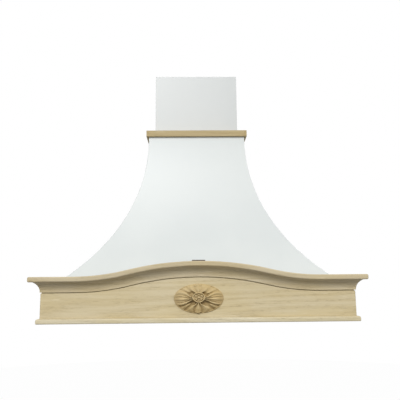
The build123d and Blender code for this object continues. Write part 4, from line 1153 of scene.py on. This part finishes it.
def screw_head_mesh(radius):
    """Pan head with a cross recess, standing on its underside and looking up."""
    points, faces = [], []
    for reach, rise in HEAD_PROFILE:
        points += ring_points(radius * reach, HEAD_SIDES, radius * rise, offset=0.5)
    # the last ring is the edge of the cross recess
    arm, corner = (
        ring_points(radius * reach, HEAD_SIDES, radius * rise, offset=0.5)
        for reach, rise in (RECESS_ARM, RECESS_CORNER)
    )
    points += [arm[i] if i % 4 in (3, 0) else corner[i] for i in range(HEAD_SIDES)]
    last = len(points) - HEAD_SIDES
    for base in range(0, last, HEAD_SIDES):
        faces += band_faces(base, base + HEAD_SIDES, HEAD_SIDES)
    faces.append(tuple(range(last, len(points))))
    faces.append(tuple(reversed(range(HEAD_SIDES))))
    return new_mesh("Screw Head", points, faces=faces)


def insert_screws():
    """Screws through the insert's panel: three along its front and three along its back."""
    low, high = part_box("insert_panel")
    rows = (low.y + PANEL_SCREW_LINE, high.y - PANEL_SCREW_LINE)
    columns = (-PANEL_SCREW_REACH, 0.0, PANEL_SCREW_REACH)
    return [(x, y, low.z) for x in columns for y in rows]


def base_screws():
    """Screws through the base panel, along its front edge and its two sides."""
    low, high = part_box("base_panel")
    edge_x = high.x - BASE_SCREW_LINE
    front = [(edge_x * k / 3, low.y + BASE_SCREW_LINE, low.z) for k in range(-3, 4)]
    return front + [(side * edge_x, y, low.z) for side in (-1, 1) for y in BASE_SIDE_SCREWS]


def rail_screws():
    """Screws in the back of the rails: pairs at the ends and the middle, single ones between."""
    points = []
    for node, count in (("lower_rail", 5), ("hanging_rail", 3)):
        low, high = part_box(node)
        middle = (low.z + high.z) / 2
        reach = (high.x - low.x) / 2 - RAIL_END
        for share in [2 * k / (count - 1) - 1 for k in range(count)]:
            levels = (-1, 1) if share in (-1.0, 0.0, 1.0) else (1,)
            for level in levels:
                height = middle + level * RAIL_SCREW_RISE
                points.append((reach * share, high.y - RAIL_SCREW_SINK, height))
    return points


class HOOD_OT_fixings(Operator):
    """Drive the screws of the insert, the base panel and the back of the carcass"""

    bl_idname = "hood.fixings"
    bl_label = "Screws"

    def execute(self, context):
        size = context.scene.hood.fittings
        head = linked_object("Screw Head", screw_head_mesh(size.screw_head))
        zinc = bpy.data.materials["Zinc Plate"]
        down, back = (pi, 0.0, 0.0), (-pi / 2, 0.0, 0.0)
        tree = fixing_tree()
        for name, points, facing in (
            ("insert_screws", insert_screws(), down),
            ("panel_screws", base_screws(), down),
            ("back_screws", rail_screws(), back),
        ):
            inputs = {"Head": head, "Facing": facing, "Finish": zinc}
            piece = grow(tree, name, new_mesh(name, points), inputs, crease=radians(40))
            publish(piece, COVER, "zinc_screws", zinc)
        bpy.data.objects.remove(head)
        return {"FINISHED"}


# ---------------------------------------------------------------- grease filters
BLADE_COUNT = 9  # in the lower row; the upper row covers the gaps between them
BLADE_STEPS = 12
BLADE_CROWN = 2.6 * MM
BLADE_SHEET = 0.7 * MM
LOWER_INSET = 1.0 * MM  # from the underside of the baffle's place to the lower blades' edges
UPPER_INSET = 0.2 * MM  # from its top to the upper blades' edges


def blade_mesh(width, length, down):
    """One pressed blade along Y: a shallow bow of sheet metal, bowed down or up."""
    sign = -1 if down else 1
    shares = [2 * i / BLADE_STEPS - 1 for i in range(BLADE_STEPS + 1)]
    outer = [(t * width / 2, sign * BLADE_CROWN * (1 - t * t)) for t in shares]
    narrowing = 1 - 2 * BLADE_SHEET / width
    inner = [(x * narrowing, z - sign * BLADE_SHEET) for x, z in outer]
    loop = outer + inner[::-1]
    count = len(loop)
    points = [(x, y, z) for y in (-length / 2, length / 2) for x, z in loop]
    faces = band_faces(0, count, count)
    for i in range(BLADE_STEPS):
        near = (i, count - 1 - i, count - 2 - i, i + 1)
        faces += [near, tuple(count + v for v in reversed(near))]
    return new_mesh("Baffle Blade", points, faces=faces if down else [f[::-1] for f in faces])


class HOOD_OT_filters(Operator):
    """Press the two rows of baffle blades in each grease filter"""

    bl_idname = "hood.filters"
    bl_label = "Grease Filters"

    def execute(self, context):
        gap = context.scene.hood.fittings.blade_gap
        tree = blade_tree()
        finish = bpy.data.materials["Satin Aluminium"]
        for side in ("left", "right"):
            low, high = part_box(f"{side}_filter_baffle")
            middle, size = (low + high) / 2, high - low
            # the outer blades close up to the frame, so that no slot is left beside them
            pitch = (size.x + gap) / BLADE_COUNT
            for name, count, level, down in (
                ("lower_blades", BLADE_COUNT, low.z + LOWER_INSET, True),
                ("upper_blades", BLADE_COUNT - 1, high.z - UPPER_INSET, False),
            ):
                first = (middle.x - pitch * (count - 1) / 2, middle.y, level)
                inputs = {"Count": count, "First": first, "Pitch": pitch, "Finish": finish}
                blade = blade_mesh(pitch - gap, size.y, down)
                piece = grow(tree, f"{side}_filter_{name}", blade, inputs)
                publish(piece, f"{side}_filter", "aluminium", finish)
            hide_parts(f"{side}_filter_baffle")
        return {"FINISHED"}


# ---------------------------------------------------------------- lamps
LENS_SPOKES = 64
LENS_RIBS = 5
RIB_STEPS = 4
RIB_RISE = 0.18 * MM
RIBBED_SHARE = 0.96  # of the lens's radius
LENS_EDGE = 0.3 * MM  # height of the edge above the underside


def lens_profile(radius, thickness):
    """Half section of a lens as (reach, height): back, edge, and ribs towards the middle."""
    profile = [(radius, thickness), (radius, LENS_EDGE)]
    steps = LENS_RIBS * RIB_STEPS
    for k in range(steps, -1, -1):
        rise = RIB_RISE * (1 + cos(2 * pi * k / RIB_STEPS)) / 2
        profile.append((radius * RIBBED_SHARE * k / steps, rise))
    return profile


class HOOD_OT_lamps(Operator):
    """Turn the ribbed lenses of the two lamps"""

    bl_idname = "hood.lamps"
    bl_label = "Lamp Lenses"

    def execute(self, context):
        low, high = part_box("lamp_lenses")
        radius = (high.y - low.y) / 2
        *rings, pole = lens_profile(radius, high.z - low.z)
        points, faces = [], []
        for side in (-1, 1):
            centre = Vector((side * (high.x - radius), (low.y + high.y) / 2, low.z))
            start = len(points)
            for reach, rise in rings:
                ring = ring_points(reach, LENS_SPOKES, rise)
                points += [centre + Vector(point) for point in ring]
            points.append(centre + Vector((0, 0, pole[1])))
            tip = len(points) - 1
            last = tip - LENS_SPOKES
            for base in range(start, last, LENS_SPOKES):
                faces += band_faces(base, base + LENS_SPOKES, LENS_SPOKES, turned=True)
            faces += [(last + i, tip, last + (i + 1) % LENS_SPOKES) for i in range(LENS_SPOKES)]
            faces.append(tuple(range(start, start + LENS_SPOKES)))
        piece = smooth_with_creases(mesh_piece("ribbed_lenses", points, faces))
        publish(piece, COVER, "lamp_glass", bpy.data.materials["Frosted Glass"], "lamp_lenses")
        return {"FINISHED"}


# ---------------------------------------------------------------- stage
FLOOR_RADIUS = 9.0
FLOOR_SIDES = 64
FLOOR_GREY = (0.3, 0.3, 0.3, 1)
WHITE = (1, 1, 1, 1)

LAMPS = (  # name, place, width, and power as a share of the key light
    ("Key Light", Vector((-0.9, -4.0, 2.65)), 1.9, 1.0),
    ("Side Light", Vector((3.4, -1.6, 1.4)), 1.8, 0.26),
    ("Back Light", Vector((-1.0, 3.4, 2.4)), 1.8, 0.45),
)
LAMP_TARGET = Vector((0, 0, 0.3))

# the camera's place and angles follow from the object's edges in the photograph
CAMERA_PLACE = (-0.01885, -1.61159, 0.11542)
CAMERA_TURN = 0.0178  # these three are in radians
CAMERA_PITCH = 0.1635
CAMERA_ROLL = -0.0094
FOCAL_PIXELS = 487.9
PHOTO_PIXELS = 400
SENSOR_WIDTH = 36.0


def seen_directly(tree):
    """1 to the camera and in glossy or clear surfaces, 0 to the light that falls on them."""
    rays = put(tree, "ShaderNodeLightPath").outputs
    mirrored = math(tree, "MAXIMUM", rays["Is Camera Ray"], rays["Is Glossy Ray"])
    return math(tree, "MAXIMUM", mirrored, rays["Is Transmission Ray"])


def backdrop_finish():
    """Studio floor: white to the camera and in reflections, matt grey to the light."""
    material = bpy.data.materials.new("Studio Floor")
    tree = emptied_tree(material)
    matt = output(tree, "ShaderNodeBsdfDiffuse", {"Color": FLOOR_GREY})
    glow = output(tree, "ShaderNodeEmission", {"Color": WHITE, "Strength": 1.0})
    share = math(tree, "MULTIPLY", seen_directly(tree), 0.985)
    mixed = output(tree, "ShaderNodeMixShader", {0: share, 1: matt, 2: glow})
    put(tree, "ShaderNodeOutputMaterial", {"Surface": mixed})
    return material


class HOOD_OT_stage(Operator):
    """Lay the floor, light the room and set the camera where the photograph was taken"""

    bl_idname = "hood.stage"
    bl_label = "Stage"

    def execute(self, context):
        size = context.scene.hood.stage
        self.lay_floor(size)
        self.light_room(context, size)
        self.set_camera(context)
        context.scene.view_settings.view_transform = "Standard"
        return {"FINISHED"}

    def lay_floor(self, size):
        """Round floor well below the cover, which hangs on a wall."""
        corners = ring_points(FLOOR_RADIUS, FLOOR_SIDES, size.floor)
        floor = mesh_piece("studio_floor", corners, [tuple(range(FLOOR_SIDES))])
        floor.data.materials.append(backdrop_finish())

    def light_room(self, context, size):
        """White room for the fill, a large soft lamp above the front, weaker ones beside and behind."""
        world = bpy.data.worlds.new("White Room")
        context.scene.world = world
        tree = emptied_tree(world)
        strength = math(tree, "MULTIPLY_ADD", seen_directly(tree), 1.0 - size.fill, size.fill)
        sky = output(tree, "ShaderNodeBackground", {"Color": WHITE, "Strength": strength})
        put(tree, "ShaderNodeOutputWorld", {"Surface": sky})
        for name, spot, width, share in LAMPS:
            lamp = bpy.data.lights.new(name, "AREA")
            lamp.shape = "DISK"
            lamp.size = width
            lamp.energy = size.key * share
            light = linked_object(name, lamp)
            light.location = spot
            light.rotation_euler = (LAMP_TARGET - spot).to_track_quat("-Z", "Y").to_euler()

    def set_camera(self, context):
        """Low camera in front, looking slightly up."""
        turn, pitch, roll = CAMERA_TURN, CAMERA_PITCH, CAMERA_ROLL
        ahead = Vector((sin(turn) * cos(pitch), cos(turn) * cos(pitch), sin(pitch)))
        right = Vector((cos(turn), -sin(turn), 0.0))
        above = right.cross(ahead)
        level = cos(roll) * right + sin(roll) * above
        upward = cos(roll) * above - sin(roll) * right
        lens = bpy.data.cameras.new("Photo Camera")
        lens.sensor_width = SENSOR_WIDTH
        lens.lens = SENSOR_WIDTH * FOCAL_PIXELS / PHOTO_PIXELS
        lens.clip_start = 0.02
        lens.clip_end = 60.0
        camera = linked_object("Photo Camera", lens)
        axes = Matrix((level, upward, -ahead)).transposed().to_4x4()
        camera.matrix_world = Matrix.Translation(CAMERA_PLACE) @ axes
        context.scene.camera = camera


# ---------------------------------------------------------------- panel and registration
STEPS = (
    HOOD_OT_finishes,
    HOOD_OT_crown,
    HOOD_OT_canopy,
    HOOD_OT_rosette,
    HOOD_OT_fixings,
    HOOD_OT_filters,
    HOOD_OT_lamps,
    HOOD_OT_stage,
)


class HOOD_PT_panel(Panel):
    """Sidebar panel that lists the steps of the hood cover"""

    bl_idname = "HOOD_PT_panel"
    bl_label = "Range Hood Cover"
    bl_space_type = "VIEW_3D"
    bl_region_type = "UI"
    bl_category = "Hood"

    def draw(self, context):
        for step in STEPS:
            self.layout.operator(step.bl_idname)


CLASSES = (
    HoodOakSettings,
    HoodPaintSettings,
    HoodMouldingSettings,
    HoodCanopySettings,
    HoodRosetteSettings,
    HoodFittingSettings,
    HoodStageSettings,
    HoodSettings,
    *STEPS,
    HOOD_PT_panel,
)


def register():
    """Register the classes and hang the settings on the scene."""
    for cls in CLASSES:
        bpy.utils.register_class(cls)
    bpy.types.Scene.hood = PointerProperty(type=HoodSettings)


def unregister():
    """Take the settings and the classes away again."""
    del bpy.types.Scene.hood
    for cls in reversed(CLASSES):
        bpy.utils.unregister_class(cls)


def main():
    """Make every piece in order."""
    register()
    for step in STEPS:
        group, name = step.bl_idname.split(".")
        getattr(getattr(bpy.ops, group), name)()


if __name__ == "__main__":
    main()
